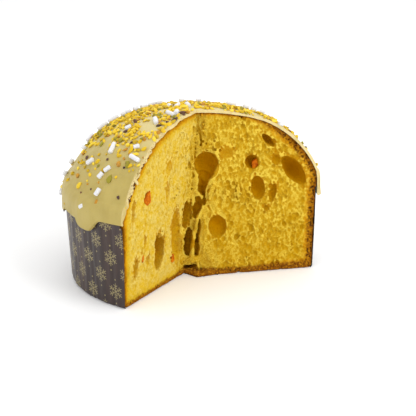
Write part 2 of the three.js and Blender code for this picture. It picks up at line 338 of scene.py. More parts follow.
def snowflakes(paper):
    """1 on the printed snowflakes and the dots over and under each, 0 beside them."""
    x, y, z = (paper.axis(number) for number in range(3))
    # Measured from the middle of the uncut side, so that the print's seam lies in the cut.
    turn = paper.maths("ARCTAN2", 0 - x, y) + math.pi / 2 - SNOW_FIRST[0]
    rise = z * 1000 - SNOW_FIRST[1]
    (turn_a, rise_a), (turn_b, rise_b) = SNOW_STEPS
    net = turn_a * rise_b - rise_a * turn_b
    i = (turn * rise_b - rise * turn_b) / net
    j = (rise * turn_a - turn * rise_a) / net
    i = i - round(i)
    j = j - round(j)
    across = (i * turn_a + j * turn_b) * CASE_TOP_RADIUS
    along = i * rise_a + j * rise_b
    out = (across * across + along * along) ** 0.5
    spoke = paper.maths("ARCTAN2", along, across)
    fold = abs((spoke + 4 * math.pi) % (math.pi / 3) - math.pi / 6)
    forward = out * paper.maths("COSINE", fold)
    sideways = out * paper.maths("SINE", fold)
    printed = (sideways < SNOW_STROKE) * (forward < SNOW_ARM)
    for start, length in SNOW_TWIGS:
        twig = abs(forward - sideways * 0.58 - start) < SNOW_STROKE * 1.15
        printed = printed.at_least(twig * (sideways < length))
    place, size = SNOW_DOT
    dot = (across * across + (abs(along) - place) ** 2.0) < size**2
    return printed.at_least(dot) * (z > 0.002)


def case_paper():
    paper = Finish("brown greaseproof paper", Specular_IOR_Level=0.5, Sheen_Weight=0.12, Sheen_Roughness=0.18)
    streaks = paper.mottle(7, 4, paper.stretched((1, 1, 0.1)))
    russet = paper.mottle(13, 3, paper.stretched((1, 1, 0.3))).eased(0.5, 0.75)
    worn = (streaks.eased(0.42, 0.78) * 0.6 + paper.mottle(30, 3).eased(0.45, 0.8) * 0.35).at_most(1.0)
    printed = snowflakes(paper) * (0.7 + 0.3 * paper.mottle(2.2, 4).eased(0.30, 0.52))
    colour = paper.painted(PAPER_BROWN, (russet, PAPER_RUSSET), (worn, PAPER_WORN), (printed, PRINT))
    fibres = paper.mottle(0.9, 3, paper.stretched((1, 1, 0.3)))
    wrinkles = paper.mottle(12, 5, paper.stretched((1, 1, 0.2)))
    bumped = paper.relief(wrinkles, 0.9, paper.relief(fibres, 0.08))
    return paper.finish(Base_Color=colour, Roughness=0.36 + 0.2 * streaks, Normal=bumped)


wall_points, wall_faces = case_wall()
floor_points, floor_faces = case_floor()
case_points = np.concatenate([wall_points, floor_points])
case_faces = wall_faces + [tuple(i + len(wall_points) for i in f) for f in floor_faces]
case = add_mesh("pleated_paper_case", case_points, case_faces)
case.data.set_sharp_from_angle(angle=math.radians(50))
case.data.materials.append(case_paper())
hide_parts("paper_case")
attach(case, "root")


# LOAF
# A rich yeast dough full of butter and yolk, which bakes to a stringy, bubbly yellow crumb inside a thin
# brown crust. The knife opened its bubbles, and along the middle the crumb tore instead of cutting.

GRAIN = 0.7
DOME_RADIUS = 106.0
DOME_WAIST = 60.0
LOAF_HEIGHT = 139.3
DOME_POWER = 2.1
SWELL = 2.5
SWELL_WHOLE = 84.0
SWELL_UNTIL = 128.0
PAPER_GAP = 1.35
LOAF_UNDERSIDE = 0.5
FOOT_ROUND = 3.0
LOAF_FACES = 195000
# How far to both sides of the cut the fine crumb reaches.
CRUMB_BAND = 9

# The photograph was taken from a metre or so away, a little above the loaf and square to its cut.
CAMERA_TURN = math.radians(-34.65)
CAMERA_PITCH = math.radians(18.77)
CAMERA_REACH = 1000.0
CAMERA_AIM = (14.8, 0.0, 55.1)
PHOTO_SIDE = 416
FOCAL_PIXELS = 1180.0


def seen_frame(x, y, z):
    """A point given in the camera's frame, which looks along +Y, turned into the part's frame."""
    c, s = math.cos(CAMERA_TURN), math.sin(CAMERA_TURN)
    return np.array([c * x - s * y, s * x + c * y, z])


SIGHT = seen_frame(0, math.cos(CAMERA_PITCH), -math.sin(CAMERA_PITCH))

# Bubbles that the knife opened: face, place along it and up it, how far out of it the middle lies, half
# width, half height, depth, and lean in degrees.
BUBBLES = [
    ("right", 12, 94.5, 0, 10.3, 11.5, 12, 8),
    ("right", 50.9, 95.3, 0, 5.8, 6.1, 10, 20),
    ("right", 72, 95.8, 0, 3.8, 4.4, 3.6, 0),
    ("right", 84, 90.5, 0, 7.4, 6.6, 8, -50),
    ("right", 55.8, 73, 0, 5.9, 10.2, 9, 8),
    ("right", 68.7, 67.8, 0, 2.9, 8, 5, -12),
    ("right", 20.2, 42.2, 0, 7.8, 9.5, 7.5, 0),
    ("right", 30, 104, 3.4, 8, 7, 5, 20),
    ("right", 63, 55, 0, 2.6, 2.6, 3, 0),
    ("left", 51.5, 31.4, 0, 6.6, 14, 15, 10),
    ("left", 55, 43, 0, 3.2, 7, 9, 16),
    ("left", 86.6, 29.2, 0.6, 3.2, 8.6, 4.4, 12),
    ("left", 26.8, 37.3, 2.0, 7.6, 25, 8.0, -4),
    ("left", 10.7, 53, -2.5, 5.6, 12, 9, 4),
    ("left", 7.3, 27, -4.5, 6.2, 14, 11, 0),
    ("left", 41.4, 81, 2.2, 3.6, 7.5, 4.2, 0),
    ("left", 40.3, 102.4, 3.4, 5.5, 8, 5, 18),
    ("left", 68.8, 31.3, 0.4, 1.6, 4.2, 2.6, 6),
    ("left", 73, 47.3, 0.4, 1.5, 5.5, 2.4, 8),
    ("left", 91, 76, 1.0, 1.9, 12, 3, 5),
]

# Bubbles that the dough squeezed as it rose, pointed at both ends: given alike.
SQUEEZED = [
    ("right", 65.2, 113, 0, 7.4, 3.0, 9, -46),
    ("right", 87.2, 86, 0, 15.5, 7.4, 14, -52),
]

# Along the middle the crumb parted instead of being cut. Each run is a chain of places as seen on the right
# face: along, up, out of the torn surface, half width and depth. The first runs are creases and hollows, the
# others the ridges, strands and crumbs that were left standing.
PARTED = [
    [(4.6, 140, 0, 0.8, 1.2), (6.0, 135, 0, 1.2, 1.5), (5.2, 128, 0, 1.5, 1.9), (7.2, 121, 0, 0.9, 1.8),
     (7.6, 112, -0.5, 1.2, 2.8)],
    [(1.8, 127, 0, 1.3, 3), (2.4, 124, 0, 1.0, 3)],
    [(9.5, 115, 0, 1.0, 3), (12.0, 113, 0, 0.9, 2.5)],
    [(10.8, 87, -2, 5.2, 8), (8.4, 80, -2, 4.2, 6.5), (7.6, 75, -2, 3.4, 6), (9.0, 69, -2, 1.9, 5.5),
     (9.2, 62, -2, 1.2, 5)],
    [(4.2, 68, -1.5, 2.6, 6), (3.4, 60, -2, 4.4, 6.5), (1.6, 53, -2, 3.0, 6)],
    [(4.9, 48.5, 0, 0.7, 5), (4.5, 42, 0, 1.0, 6), (3.2, 36, -1, 1.7, 7), (2.6, 30, -1, 1.9, 8),
     (1.4, 19, -1, 1.4, 7)],
    [(12.5, 60, 0.5, 1.2, 2.5), (14.5, 56, 0.5, 1.5, 2.5)],
    [(-8.5, 9.2, -1, 1.4, 6), (-4, 9.0, -1, 1.6, 7), (0.5, 9.4, -1, 1.5, 6)],
    [(37.3, 137.0, 0, 0.5, 2.5), (41, 134.4, 0, 0.8, 3), (45.3, 131.0, 0, 0.5, 2)],
]
STANDING = [
    [(8.0, 140.0, 0.4, 1.2, 1.8), (9.0, 136.5, 1.0, 1.5, 2.4)],
    [(10.6, 132.5, 0.6, 1.8, 2.6), (9.2, 130.0, 1.2, 1.5, 2.4)],
    [(11.6, 126.5, 0.8, 1.5, 2.4), (9.4, 124.0, 1.0, 1.7, 2.4), (10.8, 121.0, 0.6, 1.3, 2.0)],
    [(3.0, 131.5, 0.4, 1.3, 2.0), (2.6, 128.5, 0.8, 1.2, 2.0)],
    [(22.0, 94.0, 0.0, 1.6, 2.6), (20.6, 88.5, 0.4, 2.2, 2.8), (16.6, 83.6, 0.6, 2.2, 2.8),
     (14.0, 79.5, 0.2, 1.8, 2.4)],
    [(23.4, 99.0, 0.2, 1.4, 2.0), (19.0, 105.4, 0.4, 1.5, 2.0)],
    [(16.0, 76.0, 0.6, 2.0, 2.4), (14.4, 71.0, 0.8, 2.2, 2.6), (13.2, 66.0, 0.4, 1.8, 2.2)],
    [(8.8, 107.0, 0.6, 1.3, 1.8), (12.2, 108.8, 1.6, 1.6, 2.2), (15.6, 107.8, 1.2, 1.2, 1.8)],
    [(5.4, 55, 0, 1.8, 2.6), (3.4, 51, 0.2, 1.6, 2.2), (1.5, 46.5, 0.4, 1.5, 2.0), (0.0, 39, 0.4, 1.4, 1.8)],
    [(0.0, 39, 0.4, 1.4, 1.8), (-1.4, 31, 0.2, 1.5, 1.8), (-2.4, 24, 0.2, 1.6, 2.0),
     (-2.6, 17, 0.2, 2.0, 2.4)],
    [(8.6, 53, 0, 1.3, 1.6), (8.8, 43, 0.3, 1.1, 1.6), (8.2, 32, 0.2, 1.2, 1.6), (7.4, 21, 0, 1.2, 1.6)],
    [(-8.6, 13.2, 1.0, 1.6, 2.2), (-7.0, 15.2, 1.6, 1.8, 2.4), (-5.6, 12.6, 1.4, 1.5, 2.0)],
    [(-4.4, 16.0, 1.2, 1.9, 2.4), (-2.6, 14.2, 2.0, 1.8, 2.4), (-1.0, 16.6, 1.4, 1.6, 2.0),
     (0.6, 14.4, 1.4, 1.4, 1.8)],
    [(1.6, 17, 1.0, 1.2, 1.5), (2.0, 12, 2.0, 1.5, 1.6), (2.6, 8, 3.0, 1.2, 1.4), (2.8, 4.6, 4.0, 0.9, 1.2)],
]

# Diced candied peel: face, place along it and up it, how far its face stands out, half width, half height
# and depth, and the corners of the cut face as shares of those halves.
PEEL = [
    ("left", 71.7, 84.5, 0.7, 4.4, 6.0, 4.6,
     [(-0.8, 1.0), (0.5, 0.4), (1.0, -0.3), (0.1, -1.0), (-1.0, -0.7)]),
    ("left", 32.2, 20.6, 0.9, 2.2, 4.0, 4.2,
     [(-0.4, 1.0), (0.6, 0.6), (1.0, -0.6), (0.0, -1.0), (-1.0, -0.4)]),
    ("right", 54.6, 92.8, -3.2, 4.6, 5.0, 4.6,
     [(-0.6, -0.9), (0.6, -1.0), (1.0, 0.2), (0.3, 1.0), (-0.6, 0.5)]),
    ("left", 77.0, 35.0, 0.5, 1.5, 3.3, 3.4,
     [(-0.5, 1.0), (0.7, 0.7), (1.0, -0.5), (-0.2, -1.0), (-1.0, -0.2)]),
]

rng = np.random.default_rng(7)
LATTICE_SIDE = 48
LATTICE = rng.random((LATTICE_SIDE,) * 3, dtype=np.float32)
CORNERS = list(itertools.product((0, 1), repeat=3))


def lumps(x, y, z, size):
    """Smooth noise from -1 to 1 whose lumps are about size millimetres, repeatable."""
    shift = size * 7.31
    cells = []
    for value in (x, y, z):
        value = value / size + shift
        low = np.floor(value)
        part = value - low
        eased = part * part * (3 - 2 * part)
        low = low.astype(np.int32)
        cells.append(((low % LATTICE_SIDE, 1 - eased), ((low + 1) % LATTICE_SIDE, eased)))
    total = 0
    for corner in CORNERS:
        (i, wx), (j, wy), (k, wz) = (pair[step] for pair, step in zip(cells, corner))
        total = total + LATTICE[i, j, k] * wx * wy * wz
    return 2 * total - 1


# The dome sagged on the side away from the full one, and is dented on the left over the rim: the dent by its
# azimuth, half width in radians, height, half height and depth.
SAG = 2
DENT = (math.radians(157), 0.62, 110, 12, -2.6)


def unevenness(azimuth, z):
    """How far the dome stands out from a true body of revolution, in millimetres."""
    at, wide, height, tall, deep = DENT
    off = np.abs(np.arctan2(np.sin(azimuth - at), np.cos(azimuth - at)))
    sag = SAG * np.minimum(0, np.cos(azimuth - FULL_SIDE)) * bell(z, 102, 26)
    dent = deep * bell(off, 0, wide) * bell(z, height, tall)
    waves = 0.5 * np.sin(3 * azimuth + z / 17) * bell(z, 98, 34)
    return fullness(azimuth) + sag + dent + waves


def swell(azimuth, z):
    """How far the dome swelled beyond that on its full side, between the rim and the edge of its top."""
    side = np.maximum(0, np.cos(azimuth - FULL_SIDE)) ** 2
    rising = blend_step(CASE_HEIGHT, SWELL_WHOLE, z)
    return SWELL * side * rising * (1 - blend_step(SWELL_UNTIL, LOAF_HEIGHT, z))


def past_dome(x, y, z, grow=0.0):
    """Distance outside the domed loaf grown by so many millimetres, negative inside."""
    radius = np.sqrt(x * x + y * y)
    azimuth = np.arctan2(y, x)
    grow = grow + swell(azimuth, z)
    wide = DOME_RADIUS + grow + unevenness(azimuth, z)
    rise = np.maximum(z - DOME_WAIST, 0)
    reach = (radius / wide) ** DOME_POWER + (rise / (LOAF_HEIGHT + grow - DOME_WAIST)) ** DOME_POWER
    reach = np.maximum(reach, 1e-6) ** (1 / DOME_POWER)
    return (1 - 1 / reach) * np.sqrt(radius * radius + rise * rise)


def on_face(face, along, up, out=0.0):
    """A point on a cut face and its frame: along the face away from the middle, out of it, and up it."""
    normal, offset, lean = LEFT_CUT if face == "left" else RIGHT_CUT
    a = math.radians(normal)
    side = a + math.radians(-90 if face == "left" else 90)
    outwards = np.array([math.cos(a), math.sin(a), 0])
    away = np.array([math.cos(side), math.sin(side), 0])
    upwards = np.array([0, 0, 1]) + outwards * lean
    upwards /= np.linalg.norm(upwards)
    facing = np.cross(away, upwards) if face == "right" else np.cross(upwards, away)
    if facing @ outwards < 0:
        facing = -facing
    place = outwards * (offset + lean * up) + away * along + facing * out
    place[2] += up
    return place, away, facing, upwards


GRID_LOW = np.array([-108.0, -60.0, -1.4])
GRID_HIGH = np.array([110.6, 108.5, 141.4])
axes = [np.arange(low, high, GRAIN, dtype=np.float32) for low, high in zip(GRID_LOW, GRID_HIGH)]
gx, gy, gz = np.ix_(*axes)
azimuth = np.arctan2(gy, gx)

wall_side = np.sqrt(gx * gx + gy * gy) - (case_radius(gz) + fullness(azimuth) - PAPER_GAP)
over_rim = blend_step(68, 74, gz)
skin = wall_side * (1 - over_rim) + past_dome(gx, gy, gz) * over_rim
below = LOAF_UNDERSIDE - gz
rounded = np.hypot(np.maximum(skin + FOOT_ROUND, 0), np.maximum(below + FOOT_ROUND, 0)) - FOOT_ROUND
skin = np.where((skin > -FOOT_ROUND) & (below > -FOOT_ROUND), rounded, np.maximum(skin, below))

past_left, past_right, past_tear = (past_cut(gx, gy, gz, cut) for cut in (LEFT_CUT, RIGHT_CUT, TEAR))
past_knife = np.minimum(past_left, np.maximum(past_right, past_tear)).astype(np.float32)
past_corner = past_left - past_right

# Only a band on both sides of the cut carries the fine crumb: coarse and fine lumps, stronger on the right
# face, and much stronger where the two faces meet and along the tear. By the bottom crust it is denser.
band = (np.abs(past_knife) < CRUMB_BAND) & (skin < 3)
bx, by, bz = (axis[index] for axis, index in zip(axes, np.nonzero(band)))
right_face = blend_step(-3, 3, past_corner[band])
rough = 0.40 * lumps(bx, by, bz, 9.0) + (0.22 + 0.35 * right_face) * lumps(bx, by, bz, 3.6)
rough += (0.18 + 0.14 * right_face) * lumps(bx, by, bz * 0.8, 1.9)
near_tear = bell(np.maximum(past_tear[band], -30), 0, 9) * (past_left[band] > -16)
near_corner = bell(past_corner[band], 0, 30) * bell(past_left[band], 0, 16)
torn = np.maximum(near_corner, 0.6 * near_tear) * (0.55 + 0.45 * right_face)
rough += torn * (1.9 * lumps(bx, by, bz * 0.7, 6.5) + 0.9 * lumps(bx, by, bz * 0.8, 3.1))
rough *= 0.3 + 0.7 * blend_step(1, 12, bz)
crumb = np.maximum(skin, past_knife)
crumb[band] = np.maximum(skin[band] + 0.15 * rough, past_knife[band] + rough)
hollow = np.zeros_like(crumb, dtype=np.float32)
past_wall = np.full_like(crumb, -9.0, dtype=np.float32)


def carve(centre, frame_axes, half, mark=0.0, fill=False, ragged=0.0, tip=2.0):
    """Takes an ellipsoid out of the crumb, or adds it. Notes how far each place lies past its wall, and a
    mark that grows from the hollow's foot to its top."""
    reach = max(half) + 2.5
    window = []
    for axis in range(3):
        low = int(max(0, (centre[axis] - reach - GRID_LOW[axis]) // GRAIN))
        high = int(min(len(axes[axis]), (centre[axis] + reach - GRID_LOW[axis]) // GRAIN + 2))
        if high <= low:
            return
        window.append(slice(low, high))
    window = tuple(window)
    dx, dy, dz = np.ix_(*(axis[part] - middle for axis, part, middle in zip(axes, window, centre)))
    first, second, third = ((dx * a[0] + dy * a[1] + dz * a[2]) / h for a, h in zip(frame_axes, half))
    q = np.sqrt(abs(first) ** tip + second**2 + third**2)
    depth = (1 - q) * min(half)
    if ragged:
        x, y, z = (np.broadcast_to(d + c, depth.shape) for d, c in zip((dx, dy, dz), centre))
        depth = depth + ragged * lumps(x, y, z, 4.5) + 0.5 * ragged * lumps(x, y, z, 2.0)
    part = crumb[window]
    if fill:
        np.minimum(part, -depth, out=part)
        return
    np.maximum(part, depth, out=part)
    np.maximum(past_wall[window], depth, out=past_wall[window])
    if mark:
        marked = hollow[window]
        np.maximum(marked, mark * (depth > -2.0) * (0.75 + 0.25 * np.clip(third, -1, 1)), out=marked)


def turned_axes(away, facing, upwards, lean):
    """The frame turned in the plane of the face, so that its top leans towards the middle."""
    a = math.radians(lean)
    return away * math.cos(a) + upwards * math.sin(a), facing, upwards * math.cos(a) - away * math.sin(a)


def cell_of(spot, side):
    return tuple((spot // side).astype(int))


def crowded(taken, spot, side, room):
    """True where a place noted in the cells round a spot lies nearer than the room that its size asks for."""
    round_it = itertools.product(*((n - 1, n, n + 1) for n in cell_of(spot, side)))
    near = itertools.chain.from_iterable(taken.get(cell, ()) for cell in round_it)
    return any(((spot - place) ** 2).sum() < room(size) ** 2 for place, size in near)


# The fine crumb: shallow round pores packed beside each other on the right face, narrower and taller on the
# left. For each face: how many darts are thrown, the stretch along it, the radii and the tallness.
PORES = [
    ("right", 12000, (-14, 112), (0.8, 2.3), 0.45),
    ("left", 4000, (-2, 110), (0.75, 1.4), 0.35),
]
PORE_HEIGHTS = (2, 140)
PORE_CELL = 4.4
taken = {}
pores = []
for face, tries, stretch, size, tallness in PORES:
    _, away, facing, upwards = on_face(face, 0, 0)
    for d in rng.random((tries, 7)):
        along, up = between(stretch, d[0]), between(PORE_HEIGHTS, d[1])
        radius = between(size, d[2] ** 2.2)
        centre = on_face(face, along, up, radius * (0.65 * d[3] - 0.25))[0]
        if crowded(taken, centre, PORE_CELL, lambda other: (radius + other) * 0.93 + 0.1):
            continue
        taken.setdefault(cell_of(centre, PORE_CELL), []).append((centre, radius))
        # Towards the right shoulder the pores lean with the dome.
        lean = (d[4] - 0.5) * 50 + (38 if face == "right" and along > 55 and up > 78 else 0)
        half = (radius, radius * (0.75 + 0.35 * d[6]), radius * (1.15 + tallness * d[5]))
        pores.append((centre, turned_axes(away, facing, upwards, lean), half))
for pore in pores:
    carve(*pore)

for places, tip, wavy in ((BUBBLES, 2.0, 0.3), (SQUEEZED, 1.35, 0.12)):
    for face, along, up, out, wide, tall, deep, lean in places:
        spot, away, facing, upwards = on_face(face, along, up, out)
        # On the left face the bubbles by the tear were pulled out of shape.
        ragged = 0.7 if along < 30 and face == "left" else wavy
        turned = turned_axes(away, facing, upwards, lean)
        carve(spot, turned, (wide, deep, tall), mark=1.0, ragged=ragged, tip=tip)


def torn_place(along, up, out):
    """The place on the torn surface that is seen at this place of the right face."""
    place, _, facing, _ = on_face("right", along, up)

    def along_sight(cut):
        a = math.radians(cut[0])
        return past_cut(*place, cut) / -(SIGHT @ [math.cos(a), math.sin(a), -cut[2]])

    return place + SIGHT * min(along_sight(LEFT_CUT), max(0, along_sight(TEAR))) + facing * out


def run_of_places(chain):
    """Places close beside each other along a chain, each with its size."""
    for start, end in itertools.pairwise(np.array(chain, float)):
        steps = max(2, int(np.abs(end - start)[:2].max() / 0.9))
        for share in np.linspace(0, 1, steps):
            yield start + (end - start) * share


for chains, fill in ((PARTED, False), (STANDING, True)):
    for along, up, out, wide, deep in itertools.chain.from_iterable(run_of_places(chain) for chain in chains):
        _, away, facing, upwards = on_face("right", 0, up)
        half = (wide, deep, max(1.3, 0.8 * wide))
        mark = min(0.8, 0.3 * wide)
        ragged = min(0.9, 0.45 * wide)
        carve(torn_place(along, up, out), (away, facing, upwards), half, mark, fill, ragged)
for face, along, up, out, wide, tall, deep, _ in PEEL:
    spot, *frame_axes = on_face(face, along, up, out - deep / 2)
    carve(spot, frame_axes, (wide * 0.82, deep * 0.8, tall * 0.86), mark=0.6, ragged=0.3)

# The torn edge of the bottom crust lies in front of the crumb, level with the case.
LEDGE = [(-11.1, -6.1), (-6.9, -21.0), (8.9, -24.6), (10.0, -12.0)]
LEDGE_HEIGHT = 3.6
ledge = LOAF_UNDERSIDE - gz
for (x0, y0), (x1, y1) in zip(LEDGE, LEDGE[1:] + LEDGE[:1]):
    length = math.hypot(x1 - x0, y1 - y0)
    ledge = np.maximum(ledge, ((gx - x0) * (y1 - y0) - (gy - y0) * (x1 - x0)) / length)
top = LEDGE_HEIGHT + 1.6 * lumps(*np.broadcast_arrays(gx, gy, gz[..., :1]), 4.0)
ledge = np.maximum(ledge, gz - top)
crumb = np.minimum(crumb, ledge)


def wrap(field):
    """A closed surface round the places where field is negative: one point in each cell that the surface
    crosses, at the mean of its crossings, and one quad across each grid edge that it cuts."""
    inside = field < 0
    count = np.zeros(tuple(n - 1 for n in field.shape), np.uint8)
    for i, j, k in CORNERS:
        count += inside[i : i + count.shape[0], j : j + count.shape[1], k : k + count.shape[2]]
    ci, cj, ck = np.nonzero((count > 0) & (count < 8))
    label = np.full(count.shape, -1, np.int32)
    label[ci, cj, ck] = np.arange(len(ci))
    total = np.zeros((len(ci), 3))
    hits = np.zeros(len(ci))
    values = {c: field[ci + c[0], cj + c[1], ck + c[2]] for c in CORNERS}
    for start, axis in itertools.product(CORNERS, range(3)):
        if start[axis]:
            continue
        end = tuple(v + (n == axis) for n, v in enumerate(start))
        cross = (values[start] < 0) != (values[end] < 0)
        share = np.where(cross, values[start] / np.where(cross, values[start] - values[end], 1), 0)
        point = np.array(start, float)[None] + share[:, None] * np.eye(3)[axis][None]
        total += point * cross[:, None]
        hits += cross
    points = total / hits[:, None] + np.stack([ci, cj, ck], -1)
    quads = []
    for axis in range(3):
        first = [slice(None)] * 3
        second = [slice(None)] * 3
        first[axis], second[axis] = slice(0, -1), slice(1, None)
        cut = inside[tuple(first)] != inside[tuple(second)]
        i, j, k = np.nonzero(cut)
        outward = inside[tuple(first)][i, j, k]
        u, v = [n for n in range(3) if n != axis]
        cells = []
        for du, dv in ((0, 0), (1, 0), (1, 1), (0, 1)):
            cell = [i.copy(), j.copy(), k.copy()]
            cell[u] -= du
            cell[v] -= dv
            cells.append(label[cell[0], cell[1], cell[2]])
        quad = np.stack(cells, -1)
        flip = outward if axis != 1 else ~outward
        quad[flip] = quad[flip][:, ::-1]
        quads.append(quad)
    return points * GRAIN + GRID_LOW, np.concatenate(quads)


def between_cells(field, points):
    """The field's values at points in millimetres, blended between the eight grid places round each."""
    place = (points - GRID_LOW) / GRAIN
    low = np.clip(np.floor(place).astype(int), 0, np.array(field.shape) - 2)
    part = np.clip(place - low, 0, 1)
    total = 0
    for i, j, k in CORNERS:
        share = np.prod([part[:, n] if step else 1 - part[:, n] for n, step in enumerate((i, j, k))], axis=0)
        total = total + share * field[low[:, 0] + i, low[:, 1] + j, low[:, 2] + k]
    return total


def store(piece, name, numbers):
    attribute = piece.data.attributes.new(name, "FLOAT", "POINT")
    attribute.data.foreach_set("value", np.asarray(numbers, np.float32))


def apply_modifiers(piece):
    """Leaves the piece as its modifiers made it."""
    seen = piece.evaluated_get(bpy.context.evaluated_depsgraph_get())
    made = bpy.data.meshes.new_from_object(seen)
    old = piece.data
    piece.modifiers.clear()
    piece.data = made
    made.name = old.name


loaf_points, loaf_quads = wrap(crumb)
cell = np.clip(((loaf_points - GRID_LOW) / GRAIN).round().astype(int), 0, np.array(crumb.shape) - 1)
cell = tuple(cell.T)
loaf = add_mesh("loaf_crumb", loaf_points, loaf_quads)
store(loaf, "under_crust", -skin[cell])
store(loaf, "under_knife", -past_knife[cell])
store(loaf, "bubble", hollow[cell])
store(loaf, "from_wall", between_cells(past_wall, loaf_points))
store(loaf, "on_ledge", np.clip(1.6 - ledge[cell], 0, 1))
store(loaf, "right_face", blend_step(-3, 3, past_corner[cell]))
# The smooth skin that paper and icing hide is thinned to large faces; the crumb keeps its grain.
thin = loaf.modifiers.new("thin", "DECIMATE")
thin.ratio = LOAF_FACES / (2 * len(loaf_quads))
apply_modifiers(loaf)

LEFT_PALE = (0.74, 0.575, 0.145)
LEFT_GOLD = (0.63, 0.395, 0.006)
RIGHT_PALE = (0.78, 0.575, 0.07)
RIGHT_GOLD = (0.46, 0.24, 0.0)
CRUMB_DEPTH_SHADE = (0.52, 0.245, 0.0)
BUBBLE_STAIN_AND_SHADE = (0.40, 0.155, 0.0)
CRUST_GOLD = (0.58, 0.255, 0.006)
CRUST_BROWN = (0.20, 0.062, 0.005)
FOOT_GOLD = (0.46, 0.20, 0.01)
CRUST_DARK = (0.035, 0.012, 0.004)


def network(dough, size, vector):
    """1 on the walls between cells of so many millimetres, 0 inside the cells."""
    settings = {"feature": "DISTANCE_TO_EDGE"}
    web = dough.node("ShaderNodeTexVoronoi", settings, {"Vector": vector, "Scale": 1000 / size})
    return 1 - web.eased(0.02, 0.14)


